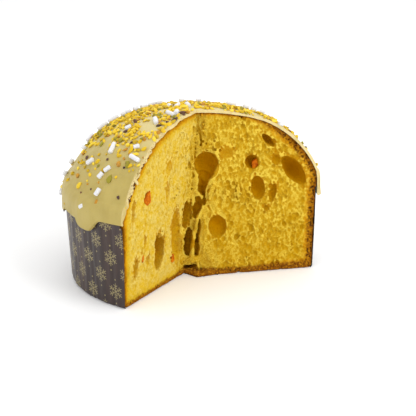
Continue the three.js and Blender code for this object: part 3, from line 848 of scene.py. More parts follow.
def crumb_finish():
    dough = Finish("yellow crumb and brown crust", Specular_IOR_Level=0.0)
    depth, crust, bubble = (dough.read(name) for name in ("under_knife", "under_crust", "bubble"))
    from_wall, right = dough.read("from_wall"), dough.read("right_face")
    x, z = dough.axis(0) * 1000, dough.axis(2) * 1000
    # Walls of dough between the pores catch the light: a net of round cells on the right face, and on the
    # left face only soft upright flecks.
    sockets = {"Vector": dough.place(), "Scale": 1000 / 3.0}
    swirl = dough.node("ShaderNodeTexNoise", sockets=sockets, output="Color")
    bent = dough.node("ShaderNodeVectorMath", {"operation": "SCALE"}, {0: swirl, "Scale": 2.2 * MM})
    sockets = {0: dough.stretched((1, 1, 0.8)), 1: bent}
    bent = dough.node("ShaderNodeVectorMath", {"operation": "ADD"}, sockets)
    walls = network(dough, 2.1, bent)
    threads = network(dough, 1.15, bent)
    # Painted light on every pore and bubble: a pale highlight on the lip where its wall meets the cut, and
    # golden shade within.
    lip = from_wall.eased(-1.1, -0.5) * (1 - from_wall.eased(-0.25, 0.1))
    within = from_wall.eased(-0.35, 0.0)
    flecks = dough.mottle(1.5, 4, None, 0.65).eased(0.38, 0.62)
    clouds = dough.mottle(6, 4, dough.stretched((1, 1, 0.8)), 0.6).eased(0.34, 0.64)
    # Painted shade: both faces darken towards gold the deeper a place lies below the knife's plane.
    lit_near_plane = 1 - (depth + (dough.mottle(1.6, 3) - 0.5)).eased(0.2, 2.6)
    grains = dough.mottle(0.9, 2, None, 0.6).eased(0.42, 0.60)
    soft = (0.5 * clouds + 0.4 * flecks + 0.18 * grains) * (1 - 0.4 * within) * crust.eased(0.5, 11)
    left_colour = dough.mix((soft * (0.3 + 0.7 * lit_near_plane)).at_most(1.0), LEFT_GOLD, LEFT_PALE)
    # High on the right face the walls are thick folds, further down they are fine threads.
    folds = z.eased(36, 62)
    ridges = 0.25 * folds * walls * clouds + (0.5 - 0.12 * folds) * threads + 0.2 * lip
    patches = 0.5 + 0.55 * dough.mottle(15, 3).eased(0.36, 0.62)
    net = (ridges * patches + 0.3 * flecks * clouds + 0.25 * grains + 0.12 * folds) * (1 - 0.5 * within)
    right_colour = dough.mix((net * (0.3 + 0.7 * lit_near_plane)).at_most(1.0), RIGHT_GOLD, RIGHT_PALE)
    # Inside the bubbles the crumb is brown-stained and flecked, with painted shade that is darkest in their
    # tops and deepest parts.
    stains = dough.mottle(2.8, 3).eased(0.35, 0.7)
    lined = bubble.eased(0.3, 0.45) * within
    shaded_top = bubble.eased(0.5, 1.0)
    # Painted highlight: a pale rim round each bubble where its wall meets the cut.
    rim = bubble.eased(0.3, 0.45) * from_wall.eased(-1.9, -1.0) * (1 - from_wall.eased(-0.3, 0.0))
    colour = dough.painted(
        dough.mix(right, left_colour, right_colour),
        # Painted shade: the pores turn golden inside, more so on the right face.
        (within * (1 - bubble) * (0.12 + 0.12 * right), RIGHT_GOLD),
        # Painted shade: the crumb turns deep gold the further it lies below the knife's plane.
        (depth.eased(2.0, 9.0) * 0.8, CRUMB_DEPTH_SHADE),
        (lined * (0.05 + 0.25 * stains + 0.42 * shaded_top), BUBBLE_STAIN_AND_SHADE),
        (lined * dough.mottle(1.3, 3).eased(0.52, 0.66) * 0.5, BUBBLE_STAIN_AND_SHADE),
        # Painted shade deep down in the bubbles.
        (lined * depth.eased(7.0, 13.0) * 0.5, BUBBLE_STAIN_AND_SHADE),
        (rim * (0.2 + 0.3 * right), dough.mix(right, LEFT_PALE, RIGHT_PALE)),
    )
    # The crust browns inwards from the skin: thin on the left, a thick dark-pored band on the right shoulder.
    patchy = dough.mottle(3.2, 4) - 0.5
    shoulder = x.eased(22, 75) * (1 - z.eased(112, 136))
    low = 1 - z.eased(60, 80)
    thick = 5.0 - 1.4 * right - 1.4 * low * (1 - right) + shoulder * 4.6
    reach = crust / thick + patchy * 0.9
    toasted = dough.mottle(2.6, 4, None, 0.6).eased(0.40, 0.60) * (1 - (crust / thick).eased(0.5, 1.0))
    dark_pores = dough.mottle(2.0, 2).eased(0.54, 0.60) * (1 - (crust / thick).eased(0.45, 0.9))
    skin_deep = 1 - (crust + patchy * 0.8).eased(0.1, 0.9)
    # The bottom crust is the darkest, and bare and speckled where the crumb tore off it.
    foot = (1 - (z + patchy * 3.6 - 1.8 * right).eased(2.8, 5.6)).at_least(dough.read("on_ledge"))
    baked = dough.mix(dough.mottle(1.8, 3).eased(0.42, 0.70), CRUST_BROWN, FOOT_GOLD)
    baked = dough.mix(dough.mottle(1.3, 2).eased(0.56, 0.66), baked, CRUST_DARK)
    colour = dough.painted(
        colour,
        ((1 - reach.eased(0.5, 1.25)) * 0.85, CRUST_GOLD),
        ((1 - reach.eased(0.05, 0.75)) * (0.55 + 0.25 * right), CRUST_BROWN),
        (toasted * right * (0.35 + 0.4 * shoulder), CRUST_BROWN),
        (dark_pores * (0.1 + 0.75 * shoulder), CRUST_DARK),
        (skin_deep * (0.55 + 0.4 * right), CRUST_BROWN),
        (foot * 0.9, baked),
    )
    bumped = dough.relief(walls * clouds, 0.25, dough.relief(dough.mottle(0.8, 4, None, 0.7), 0.3))
    return dough.finish(Base_Color=colour, Roughness=0.7 + 0.2 * clouds, Normal=bumped)


loaf.data.materials.append(crumb_finish())
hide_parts("loaf")
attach(loaf, "root")


# CANDIED ORANGE
# Diced orange peel cooked in syrup until it is clear and glossy, folded into the dough before it proved.
# Four dice show where the knife passed, each seated in the pocket that the crumb baked round it.

PEEL_DEEP = (0.42, 0.085, 0.0)
PEEL_BRIGHT = (0.66, 0.19, 0.0)
# Rings of a die from the middle of its cut face to the middle of its back: share of the outline, and how
# far in, as a share of its depth.
DIE_RINGS = [
    (0.3, -0.02), (0.6, -0.02), (0.85, 0.0), (0.95, 0.03),
    (1.0, 0.12), (1.0, 0.5), (0.93, 0.8), (0.7, 0.95),
]
DIE_SIDES = 40


def peel_finish():
    fruit = Finish("candied orange peel", Specular_IOR_Level=0.08)
    cloud = fruit.mottle(2.4, 3)
    colour = fruit.mix(cloud.eased(0.35, 0.7), PEEL_DEEP, PEEL_BRIGHT)
    bumped = fruit.relief(fruit.mottle(1.2, 3), 0.25)
    return fruit.finish(Base_Color=colour, Roughness=0.35 + 0.25 * cloud, Normal=bumped)


def rounded_outline(corners):
    """Evenly spaced points round a polygon whose corners are dulled."""
    around = np.array(corners + corners[:1])
    places = np.concatenate([[0], np.cumsum(np.linalg.norm(np.diff(around, axis=0), axis=1))])
    want = np.linspace(0, places[-1], DIE_SIDES, endpoint=False)
    points = np.stack([np.interp(want, places, around[:, n]) for n in (0, 1)], -1)
    return (np.roll(points, 1, axis=0) + 2 * points + np.roll(points, -1, axis=0)) / 4


def capped_rings(first, rings, last):
    """A closed form from its first point, through rings of equally many points, to its last point."""
    sides = len(rings[0])
    points = np.concatenate([[first], *rings, [last]])
    faces = []
    for k in range(sides):
        n = (k + 1) % sides
        faces.append((0, 1 + k, 1 + n))
        for a in range(1, 1 + sides * (len(rings) - 1), sides):
            faces.append((a + k, a + sides + k, a + sides + n, a + n))
        a = len(points) - 1 - sides
        faces.append((len(points) - 1, a + n, a + k))
    return points, faces


def face_outwards(piece):
    """Turns every face of a closed piece to look out of it."""
    shape = bmesh.new()
    shape.from_mesh(piece.data)
    bmesh.ops.recalc_face_normals(shape, faces=shape.faces)
    shape.to_mesh(piece.data)
    shape.free()


def peel_die(name, face, along, up, out, wide, tall, deep, corners):
    spot, away, facing, upwards = on_face(face, along, up, out)
    rings = []
    for share, inwards in DIE_RINGS:
        ring = []
        for u, v in rounded_outline(corners) * np.array([wide, tall]) * share:
            p = spot + away * u + upwards * v - facing * inwards * deep
            ring.append(p + facing * 0.35 * float(lumps(*p, 2.2)) * (inwards < 0.1))
        rings.append(ring)
    die = add_mesh(name, *capped_rings(spot - facing * 0.03 * deep, rings, spot - facing * deep))
    face_outwards(die)
    return die


peel_material = peel_finish()
for number, place in enumerate(PEEL, 1):
    die = peel_die(f"candied_orange_die_{number}", *place)
    die.data.materials.append(peel_material)
    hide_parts(f"candied_orange_{number}")
    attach(die, "root")


# ICING
# White chocolate and pistachio paste, poured over the baked dome while warm: it set in a smooth coat with
# a satin skin, ran over the case's rim in tongues, and broke along its edge where the knife came through.

ICING = 2.3
ICING_EDGE = 71.4
ICING_COLUMNS = 480
# How far the lip hangs clear of the paper, how thick it is, and how much thicker where it ran.
LIP_GAP = 0.15
LIP_THICK = 1.8
LIP_RUN = 0.9
# The coat leaves the dome at this slope to hang over the rim, by rings at these shares of the way down.
LIP_SLOPE = 0.32
LIP_SHARES = (0.06, 0.13, 0.21, 0.3, 0.39, 0.48, 0.57, 0.66, 0.74, 0.81, 0.87, 0.92, 0.96, 0.99)
# Runs over the rim: azimuth in degrees, how far down each hangs, and its half width in degrees.
DRIPS = [
    (184, 11, 7.5), (170, 6, 13), (157, 10, 6), (139, 5, 7), (121, 12, 6.5), (103, 4, 8), (84, 9, 6),
    (62, 5, 9), (43, 13, 6), (27, 6, 10), (5, 9, 5.5), (349, 4, 7), (332, 8, 8),
]


def icing_edge(azimuth):
    """Height of the icing's lower edge."""
    drops = []
    for at, drop, wide in DRIPS:
        off = azimuth - math.radians(at)
        away = np.abs(np.arctan2(np.sin(off), np.cos(off))) / math.radians(wide)
        drops.append(drop * np.exp(-(away**4)))
    return ICING_EDGE + 0.3 * np.sin(5 * azimuth + 1) + 0.25 * np.sin(11 * azimuth) - np.max(drops, axis=0)


def dome_radius(azimuth, z, grow):
    grow = grow + swell(azimuth, z)
    rise = np.clip((z - DOME_WAIST) / (LOAF_HEIGHT + grow - DOME_WAIST), 0, 1)
    return (1 - rise**DOME_POWER) ** (1 / DOME_POWER) * (DOME_RADIUS + grow + unevenness(azimuth, z))


def ring(azimuth, radius, z):
    return np.stack([radius * np.cos(azimuth), radius * np.sin(azimuth), z + 0 * radius], -1)


def dome_point(azimuth, slope, grow):
    """A point on the dome grown by so many millimetres; slope runs from 0 at the waist to a right angle."""
    z = DOME_WAIST + (LOAF_HEIGHT + grow - DOME_WAIST) * np.sin(slope) ** (2 / DOME_POWER)
    return ring(azimuth, dome_radius(azimuth, z, grow), z)


def icing_coat():
    """The coat as one closed turn: down the outside from the top to the lip, and up the inside again."""
    azimuth = np.linspace(0, 2 * math.pi, ICING_COLUMNS, endpoint=False)
    low = icing_edge(azimuth)
    run = np.clip((ICING_EDGE - low) / 10, 0, 1)
    hang = CASE_TOP_RADIUS + fullness(azimuth) + LIP_GAP
    fat = LIP_THICK + LIP_RUN * run
    down = np.linspace(math.pi / 2, LIP_SLOPE, 78)[1:]
    rows = [dome_point(azimuth, np.full(ICING_COLUMNS, slope), ICING) for slope in down]
    top = rows[-1][0, 2]
    for share in LIP_SHARES:
        z = top + (low + 0.9 - top) * share
        dome = dome_radius(azimuth, z, ICING)
        rows.append(ring(azimuth, dome + np.maximum(hang + fat - dome, 0) * blend_step(92, 76, z), z))
    # The skin set in faint waves.
    for p in rows:
        wave = 0.22 * lumps(*p.T, 17) + 0.12 * lumps(*p.T, 6)
        outwards = p - np.array([0, 0, 40.0])
        p += outwards / np.linalg.norm(outwards, axis=1)[:, None] * wave[:, None]
    for angle in (20, 50, 80, 110, 140, 170):
        a = math.radians(angle)
        rows.append(ring(azimuth, hang + fat * (0.5 + 0.5 * math.cos(a)), low + 0.9 * (1 - math.sin(a))))
    rows.append(ring(azimuth, hang, low + 1.0))
    for z in (74.0, 78.0, 84.0):
        rows.append(ring(azimuth, np.maximum(dome_radius(azimuth, z, 0.1), hang * (z < 75)), z))
    for slope in np.linspace(LIP_SLOPE, math.pi / 2, 18)[:-1]:
        rows.append(dome_point(azimuth, np.full(ICING_COLUMNS, slope), 0.1))
    return capped_rings((0, 0, LOAF_HEIGHT + ICING), rows, (0, 0, LOAF_HEIGHT + 0.1))


# The solids that break the icing off along the two cuts: how far along and up they go, in steps, how far
# into the gap, and how coarse and fine the jags are.
BLOCK_ALONG = (-150.0, 150.0)
BLOCK_UP = (40, 156)
BLOCK_STEP = 0.9
BLOCK_REACH = 260.0
JAGS = {"left_block": (1.1, 0.7), "right_block": (0.5, 0.3)}


def jagged_block(name, cut, turn):
    normal, offset, lean = cut
    a = math.radians(normal)
    b = a + math.radians(turn)
    zz, ss = np.meshgrid(np.arange(*BLOCK_UP, BLOCK_STEP), np.arange(*BLOCK_ALONG, BLOCK_STEP), indexing="ij")
    x = math.cos(a) * (offset + lean * zz) + math.cos(b) * ss
    y = math.sin(a) * (offset + lean * zz) + math.sin(b) * ss
    coarse, fine = JAGS[name]
    jag = coarse * lumps(x, y, zz, 3.4) + fine * lumps(x, y, zz, 1.6) + 0.6
    near, far = (np.stack([x + d * math.cos(a), y + d * math.sin(a), zz], -1) for d in (jag, BLOCK_REACH))
    piece = add_mesh(name, *thick_sheet(near, far))
    face_outwards(piece)
    return piece


def boolean(piece, tool, operation):
    change = piece.modifiers.new(operation, "BOOLEAN")
    change.operation = operation
    change.object = tool
    change.solver = "MANIFOLD"
    apply_modifiers(piece)
    bpy.data.objects.remove(tool)


coat = add_mesh("pistachio_icing", *icing_coat())
gap = jagged_block("left_block", LEFT_CUT, -90)
boolean(gap, jagged_block("right_block", RIGHT_CUT, 90), "INTERSECT")
boolean(coat, gap, "DIFFERENCE")
coat.data.shade_smooth()
coat.data.set_sharp_from_angle(angle=math.radians(42))
places = np.empty(len(coat.data.vertices) * 3, np.float32)
coat.data.vertices.foreach_get("co", places)
px, py, pz = places.reshape(-1, 3).T / MM
store(coat, "from_cut", -np.minimum(past_cut(px, py, pz, LEFT_CUT), past_cut(px, py, pz, RIGHT_CUT)))

ICING_PALE = (0.48, 0.375, 0.108)
ICING_OLIVE = (0.39, 0.295, 0.075)
ICING_SPECK = (0.26, 0.18, 0.035)
ICING_EDGE_AND_HIGHLIGHT = (0.68, 0.55, 0.25)
ICING_TOP_LIGHT = (0.62, 0.51, 0.215)
ICING_CRUMB = (0.16, 0.062, 0.012)


def icing_finish():
    icing = Finish("pistachio icing", Subsurface_Weight=0.12, Specular_IOR_Level=0.25)
    icing.surface.inputs["Subsurface Radius"].default_value = (0.003, 0.002, 0.0008)
    streak = icing.mottle(8, 4, icing.stretched((1, 1, 0.35)))
    tone = (icing.mottle(26, 3).eased(0.3, 0.75) * 0.6 + streak.eased(0.35, 0.8) * 0.4).at_most(1.0)
    height = icing.axis(2) * 1000
    # The broken edge is paler than the skin, partly its own colour and partly a painted highlight along it,
    # and on the left the knife pressed bits of crust into it.
    from_cut = icing.read("from_cut")
    flaked = height.eased(88, 98)
    left = 1 - (icing.axis(0) * 1000).eased(-50, -30)
    crusty = icing.mottle(1.4, 3).eased(0.55, 0.62) * (1 - from_cut.eased(0.0, 0.9)) * left * flaked
    colour = icing.painted(
        ICING_PALE,
        (tone, ICING_OLIVE),
        (icing.mottle(1.1, 2).eased(0.68, 0.76) * 0.35, ICING_SPECK),
        # Painted highlight: the icing pales towards the crown, where the light falls on it.
        (height.eased(100, 142) * 0.9, ICING_TOP_LIGHT),
        # Paler broken edge: its own colour with a painted highlight along it.
        ((1 - from_cut.eased(0.2, 0.9 + 1.2 * flaked)) * streak.eased(0.25, 0.55), ICING_EDGE_AND_HIGHLIGHT),
        (crusty * 0.75, ICING_CRUMB),
    )
    bumped = icing.relief(icing.mottle(9, 3), 0.5, icing.relief(icing.mottle(1.6, 4), 0.07))
    return icing.finish(Base_Color=colour, Roughness=0.36 + 0.2 * streak, Normal=bumped)


coat.data.materials.clear()
coat.data.materials.append(icing_finish())
coat.data.polygons.foreach_set("material_index", [0] * len(coat.data.polygons))
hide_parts("icing")
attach(coat, "root")


# TOPPING
# While the icing was wet it was strewn with chopped pistachios and short rods of white sugar, thickest on
# top of the dome. They sank in a little and set fast.

def in_gap(spot, margin):
    left, right, tear = (past_cut(*spot, cut) + margin for cut in (LEFT_CUT, RIGHT_CUT, TEAR))
    return left > 0 and max(right, tear) > 0


def resting_place(azimuth, slope):
    """A place on the icing, and the direction straight out of it."""
    here, beside, above = dome_point(azimuth + np.array([0, 0.01, 0]), slope + np.array([0, 0, 0.01]), ICING)
    normal = np.cross(beside - here, above - here)
    return here, normal / np.linalg.norm(normal)


# Below this slope the icing hangs and nothing stays on it; a place is sought so many times a piece.
TOPPING_SLOPE = 0.24
TOPPING_TRIES = 60
TOPPING_CELL = 6
taken = {}


def keep_clear(here, apart):
    taken.setdefault(cell_of(here, TOPPING_CELL), []).append((here, apart))


def strewn(count, apart, share, margin):
    """Places for topping by throwing darts, kept with a chance that grows towards the top."""
    kept = []
    for _ in range(count * TOPPING_TRIES):
        if len(kept) == count:
            break
        azimuth = draw.random() * 2 * math.pi
        slope = math.acos(math.sqrt(draw.random())) * 0.985
        if slope < TOPPING_SLOPE or draw.random() > share(slope):
            continue
        here, normal = resting_place(azimuth, slope)
        if in_gap(here, margin) or crowded(taken, here, TOPPING_CELL, lambda other: (apart + other) / 2):
            continue
        keep_clear(here, apart)
        kept.append((here, normal))
    return kept


def lying_frame(normal, heading, pitch):
    """A frame whose first axis lies along the surface at a heading, raised by a pitch."""
    side = np.cross(normal, [0.3, 0.2, 1.0])
    side /= np.linalg.norm(side)
    other = np.cross(normal, side)
    along = side * math.cos(heading) + other * math.sin(heading)
    across = np.cross(normal, along)
    first = along * math.cos(pitch) + normal * math.sin(pitch)
    return first, across, np.cross(first, across)


def joined(name, parts):
    """Many small closed meshes as one piece."""
    starts = np.cumsum([0] + [len(points) for points, _ in parts])
    faces = [[i + start for i in face] for start, (_, part) in zip(starts, parts) for face in part]
    return add_mesh(name, np.concatenate([points for points, _ in parts]), faces)


def rod_form(sides=14):
    """A short rod with rounded ends, of unit length and unit radius: rings along the first axis."""
    half = [(-0.497, 0.6), (-0.475, 0.86), (-0.44, 0.97), (-0.38, 1.0), (-0.1, 0.98)]
    turns = [-2 * math.pi * side / sides for side in range(sides)]
    rings = [
        [(x, radius * math.cos(a), radius * math.sin(a)) for a in turns]
        for x, radius in half + [(-x, radius) for x, radius in half[::-1]]
    ]
    return capped_rings((-0.5, 0, 0), rings, (0.5, 0, 0))


def chip_form():
    """One chopped piece of nut: a ball with several flat cuts and dull corners."""
    shape = bmesh.new()
    bmesh.ops.create_icosphere(shape, subdivisions=2, radius=1)
    points = np.array([corner.co for corner in shape.verts])
    faces = [[corner.index for corner in face.verts] for face in shape.faces]
    shape.free()
    for _ in range(7):
        normal = draw.normal(size=3)
        normal /= np.linalg.norm(normal)
        limit = 0.45 + 0.35 * draw.random()
        points = points - np.maximum(points @ normal - limit, 0)[:, None] * normal * 0.92
    return points, faces


# Rods and the plainer bits of nut that the photograph shows, each by its two ends as a pixel's column and
# row. A piece lies on the icing where the line of sight to those pixels meets it.
ROD_PIXELS = [
    (110.2, 155.0, 116.2, 142.6), (134.6, 148.2, 139.7, 147.0), (130.6, 156.2, 139.7, 161.8),
    (105.1, 171.7, 111.0, 167.4), (99.1, 178.5, 103.5, 173.3), (88.3, 164.2, 94.3, 160.2),
    (96.3, 195.7, 100.7, 188.9), (81.1, 207.2, 84.7, 205.2), (154.9, 118.3, 156.9, 125.9),
    (166.5, 113.1, 174.4, 116.7), (167.7, 104.4, 171.6, 109.9), (174.8, 108.7, 180.8, 104.8),
    (175.6, 114.7, 177.2, 112.3), (125.8, 129.9, 131.8, 127.1), (99.1, 131.1, 104.7, 125.5),
    (103.9, 126.3, 106.7, 122.7), (85.5, 139.8, 94.7, 135.9), (83.1, 147.0, 86.3, 149.4),
    (107.8, 120.7, 118.2, 115.1), (120.6, 114.3, 127.8, 112.7), (126.2, 111.9, 130.6, 109.9),
    (133.4, 109.1, 137.8, 107.2), (140.5, 105.2, 146.1, 103.6), (148.5, 105.6, 156.5, 102.8),
    (157.3, 103.2, 162.9, 100.4), (70.0, 163.0, 73.2, 159.8), (64.0, 175.7, 66.0, 170.5),
    (62.4, 193.3, 64.0, 190.1), (180.0, 98.6, 183.4, 99.6), (196.4, 97.8, 200.9, 100.9),
    (186.6, 105.0, 188.8, 107.2), (225.9, 105.0, 235.7, 105.4), (242.9, 108.5, 248.2, 109.0),
    (251.3, 109.9, 255.8, 109.0), (259.8, 112.1, 264.3, 112.6), (278.6, 124.6, 281.2, 125.9),
]
NUT_PIXELS = {
    "green": [
        (127.8, 160.6, 127.4, 168.6), (111.0, 174.9, 107.8, 184.5), (99.9, 164.6, 97.5, 167.8),
        (64.8, 193.8, 64.9, 196.5),
    ],
    "ochre": [
        (119.4, 161.4, 119.0, 167.0), (124.6, 157.4, 123.8, 160.6), (129.4, 152.6, 129.4, 155.4),
        (87.9, 182.8, 87.9, 185.3), (99.1, 181.3, 98.7, 183.7), (78.3, 174.1, 78.7, 177.7),
        (143.3, 156.5, 143.3, 158.8), (96.3, 199.7, 97.5, 205.2),
    ],
    "brown": [
        (117.8, 195.7, 119.0, 199.7), (91.1, 188.0, 91.1, 190.5), (81.1, 191.3, 81.5, 193.7),
        (87.5, 156.6, 87.5, 159.2), (107.8, 158.4, 107.8, 161.0), (124.2, 166.2, 124.2, 169.0),
        (64.4, 209.2, 64.8, 211.8), (89.1, 213.8, 89.5, 215.6),
    ],
    "yellow": [
        (116.6, 175.7, 115.8, 178.9), (79.1, 193.4, 79.5, 196.0), (81.9, 182.5, 77.9, 188.5),
        (87.5, 179.8, 87.5, 182.2), (70.4, 188.1, 68.4, 190.8), (69.6, 178.1, 67.6, 182.9),
        (64.8, 180.1, 64.0, 182.9), (90.3, 173.3, 90.7, 176.5), (88.3, 169.2, 88.7, 172.0),
        (95.1, 168.0, 95.5, 170.4), (100.3, 160.2, 95.1, 163.4), (94.3, 162.2, 93.9, 165.4),
        (85.1, 161.8, 84.7, 164.0), (85.1, 166.0, 85.5, 168.2), (79.1, 167.0, 78.3, 170.1),
        (74.4, 173.3, 72.0, 174.1), (83.1, 159.8, 81.1, 161.6), (92.7, 156.2, 92.3, 158.8),
        (99.1, 153.6, 99.5, 156.0), (107.0, 153.4, 106.3, 155.8), (117.4, 153.6, 118.6, 155.8),
        (120.6, 149.4, 118.2, 153.4), (133.4, 169.2, 133.4, 171.2), (134.6, 164.0, 134.6, 166.2),
        (129.4, 170.3, 129.4, 172.4), (64.0, 186.7, 64.8, 188.9), (64.8, 202.5, 64.9, 204.8),
        (125.4, 206.6, 125.6, 208.6),
    ],
}
# Where the icing shows bare among the nuts: middle and half sizes of ellipses, in pixels.
BARE_PIXELS = [(148.5, 124, 8.5, 7.5), (97.5, 152.6, 9.6, 4.8), (119, 149.4, 6.4, 4)]


EYE = seen_frame(*CAMERA_AIM) - SIGHT * CAMERA_REACH


def line_of_sight(column, row):
    right, up = (column - PHOTO_SIDE / 2) / FOCAL_PIXELS, (PHOTO_SIDE / 2 - row) / FOCAL_PIXELS
    c, s = math.cos(CAMERA_PITCH), math.sin(CAMERA_PITCH)
    line = seen_frame(right, c + up * s, up * c - s)
    return line / np.linalg.norm(line)


def pixel_of(point):
    """The column and row at which the camera sees a point of the part."""
    away = point - EYE
    right, up = seen_frame(1, 0, 0), seen_frame(0, math.sin(CAMERA_PITCH), math.cos(CAMERA_PITCH))
    reach = away @ SIGHT / FOCAL_PIXELS
    return PHOTO_SIDE / 2 + away @ right / reach, PHOTO_SIDE / 2 - away @ up / reach


def icing_normal(point):
    """The direction straight out of the icing at a point."""
    steps = 0.5 * np.eye(3)
    slopes = [past_dome(*(point + step), ICING) - past_dome(*(point - step), ICING) for step in steps]
    return np.array(slopes) / np.linalg.norm(slopes)


def sighted(column, row):
    """Where a line of sight meets the icing, or passes closest over its outline."""
    line = line_of_sight(column, row)
    reach = np.arange(CAMERA_REACH - 140, CAMERA_REACH + 60, 0.25)
    x, y, z = EYE[:, None] + line[:, None] * reach
    gap = past_dome(x, y, np.maximum(z, ICING_EDGE - 8), ICING)
    met = np.nonzero(gap < 0)[0]
    if len(met):
        return EYE + line * reach[met[0]]
    # What stands on the outline lies a little nearer or further on, as it was strewn.
    passing = EYE + line * reach[np.argmin(gap)]
    passing = passing + line * 11 * float(lumps(*passing, 15.0))
    return passing - icing_normal(passing) * (float(past_dome(*passing, ICING)) - 1.5)


def lying_between(pixels, shortest, longest):
    """The frame of a piece that lies on the icing between two pixels: its middle, axes and length."""
    start, end = sighted(*pixels[:2]), sighted(*pixels[2:])
    middle = (start + end) / 2
    normal = icing_normal(middle)
    first = end - start
    first = first - normal * (first @ normal) * 0.8
    length = float(np.clip(np.linalg.norm(first), shortest, longest))
    first /= np.linalg.norm(first)
    across = np.cross(normal, first)
    across /= np.linalg.norm(across)
    return middle, (first, across, np.cross(first, across)), length


def placed(form, size, middle, turned):
    points, faces = form
    local = points * np.asarray(size)
    return middle + sum(local[:, i : i + 1] * turned[i] for i in range(3)), faces


ROD_RADIUS = 1.95
ROD_LENGTH = (4.6, 10.5)
ROD_COUNT = 70
ROD_APART = 8.0
draw = np.random.default_rng(21)
rod = rod_form()
rods = []
for pixels in ROD_PIXELS:
    middle, turned, length = lying_between(pixels, *ROD_LENGTH)
    thick = ROD_RADIUS * (0.94 + 0.12 * draw.random())
    keep_clear(middle, 4.0)
    keep_clear(middle + turned[0] * length * 0.3, 3.0)
    keep_clear(middle - turned[0] * length * 0.3, 3.0)
    rods.append(placed(rod, (length, thick, thick), middle + turned[2] * thick * 0.6, turned))
# Round the back the rods lie at random, as thick on the icing as in front.
for here, normal in strewn(ROD_COUNT, ROD_APART, lambda slope: 0.35 + 0.65 * (slope / 1.5), 4.0):
    if normal @ SIGHT < 0.12:
        continue
    length = between(ROD_LENGTH, 0.8 * draw.random())
    thick = ROD_RADIUS * (0.88 + 0.24 * draw.random())
    turned = lying_frame(normal, draw.random() * math.pi, (draw.random() - 0.5) * 0.5)
    rods.append(placed(rod, (length, thick, thick), here + normal * thick * 0.62, turned))
sugar = joined("sugar_rods", rods)

NUT_LENGTH = (2.2, 9.5)
CHIP_SIZE = (1.15, 2.05)
CHIP_COUNT = 1050
CHIP_APART = 2.55
# Where each kind lies in the range of colours, and how many of the strewn chips are of it.
NUT_TINTS = {"yellow": (0.0, 0.62), "green": (0.74, 0.82), "ochre": (0.86, 0.9), "brown": (0.93, 1.0)}
NUT_SHARES = [0.86, 0.07, 0.05, 0.02]
chips = []
tints = []
forms = [chip_form() for _ in range(24)]


def add_chip(size, middle, turned, kind):
    chips.append(placed(forms[int(draw.integers(len(forms)))], size, middle, turned))
    tints.append(between(NUT_TINTS[kind], draw.random()))


for kind, places in NUT_PIXELS.items():
    for pixels in places:
        middle, turned, length = lying_between(pixels, *NUT_LENGTH)
        half = length / 2 * 1.1
        thick = min(half * 0.75, 1.5 + 0.2 * half)
        keep_clear(middle, 3.4)
        add_chip((half, thick, thick * 0.8), middle + turned[2] * thick * 0.35, turned, kind)


def chip_share(slope):
    return 0.05 + 0.95 * blend_step(0.45, 1.15, slope)


def left_bare(here, normal):
    """True where the photograph shows the icing without nuts, or with the few that are placed above."""
    if normal @ SIGHT > 0.1:
        return False
    column, row = pixel_of(here)
    open_part = min(((column - x) / wide) ** 2 + ((row - y) / high) ** 2 for x, y, wide, high in BARE_PIXELS)
    if draw.random() < 0.95 - 0.95 * blend_step(0.5, 1.5, open_part + 0.5 * float(lumps(*here, 5.0))):
        return True
    thinning = blend_step(150, 170, row + 0.3 * (column - 110) + 9 * float(lumps(*here, 9.0)))
    return column < 150 and draw.random() < 0.97 * thinning


for here, normal in strewn(CHIP_COUNT, CHIP_APART, chip_share, 0.4):
    if left_bare(here, normal):
        continue
    kind = draw.choice(list(NUT_TINTS), p=NUT_SHARES)
    size = between(CHIP_SIZE, draw.random() ** 1.3)
    turned = lying_frame(normal, draw.random() * math.pi * 2, (draw.random() - 0.5) * 1.2)
    long = size * (1.1 + 1.1 * draw.random())
    add_chip((long, size, size * 0.8), here + normal * size * 0.42, turned, kind)
nuts = joined("chopped_pistachios", chips)
store(nuts, "tint", np.repeat(tints, [len(points) for points, _ in chips]))
nuts.data.set_sharp_from_angle(angle=math.radians(38))


# Where the knife left the icing it flaked: shards of icing and bits of brown crust cling to the corner of the
# left cut face. For each kind: how many, the heights, how far in from the skin, and the sizes.
FLAKES = (30, (90.0, 124.0), (-0.4, 3.6), (1.1, 2.6))
CRUST_BITS = (36, (88.0, 122.0), (1.6, 4.6), (0.6, 1.5))


def face_corner(up):
    """How far along the left cut face the icing's outer skin lies at a height."""
    inner, outer = 0.0, 130.0
    for _ in range(20):
        along = (inner + outer) / 2
        if past_dome(*on_face("left", along, up)[0], ICING) < 0:
            inner = along
        else:
            outer = along
    return inner


def clinging(count, heights, inset, sizes, flatness):
    parts = []
    for _ in range(count):
        up = between(heights, draw.random())
        along = face_corner(up) - inset[0] - (inset[1] - inset[0]) * draw.random()
        size = between(sizes, draw.random() ** 1.5)
        spot, _, facing, _ = on_face("left", along, up, 0.25 * size)
        turned = lying_frame(facing, draw.random() * math.pi * 2, (draw.random() - 0.5) * 1.4)
        form = forms[int(draw.integers(len(forms)))]
        parts.append(placed(form, (size * 1.3, size * 0.8, size * flatness), spot, turned))
    return parts


flakes = joined("icing_flakes", clinging(*FLAKES, 0.4))
crust_bits = joined("crust_bits", clinging(*CRUST_BITS, 0.7))


FLAKE_DULL = (0.56, 0.44, 0.16)
FLAKE_PALE = (0.74, 0.62, 0.32)


def bits_finish(name, shine, size, dark, light, roughness):
    bits = Finish(name, Specular_IOR_Level=shine)
    return bits.finish(Base_Color=bits.mix(bits.mottle(size, 3), dark, light), Roughness=roughness)


flakes.data.materials.append(bits_finish("broken icing", 0.2, 2, FLAKE_DULL, FLAKE_PALE, 0.5))
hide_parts("icing")
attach(flakes, "root")
crust_bits.data.materials.append(bits_finish("bits of crust", 0.1, 1.5, CRUST_DARK, CRUST_BROWN, 0.7))
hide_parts("loaf")
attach(crust_bits, "root")


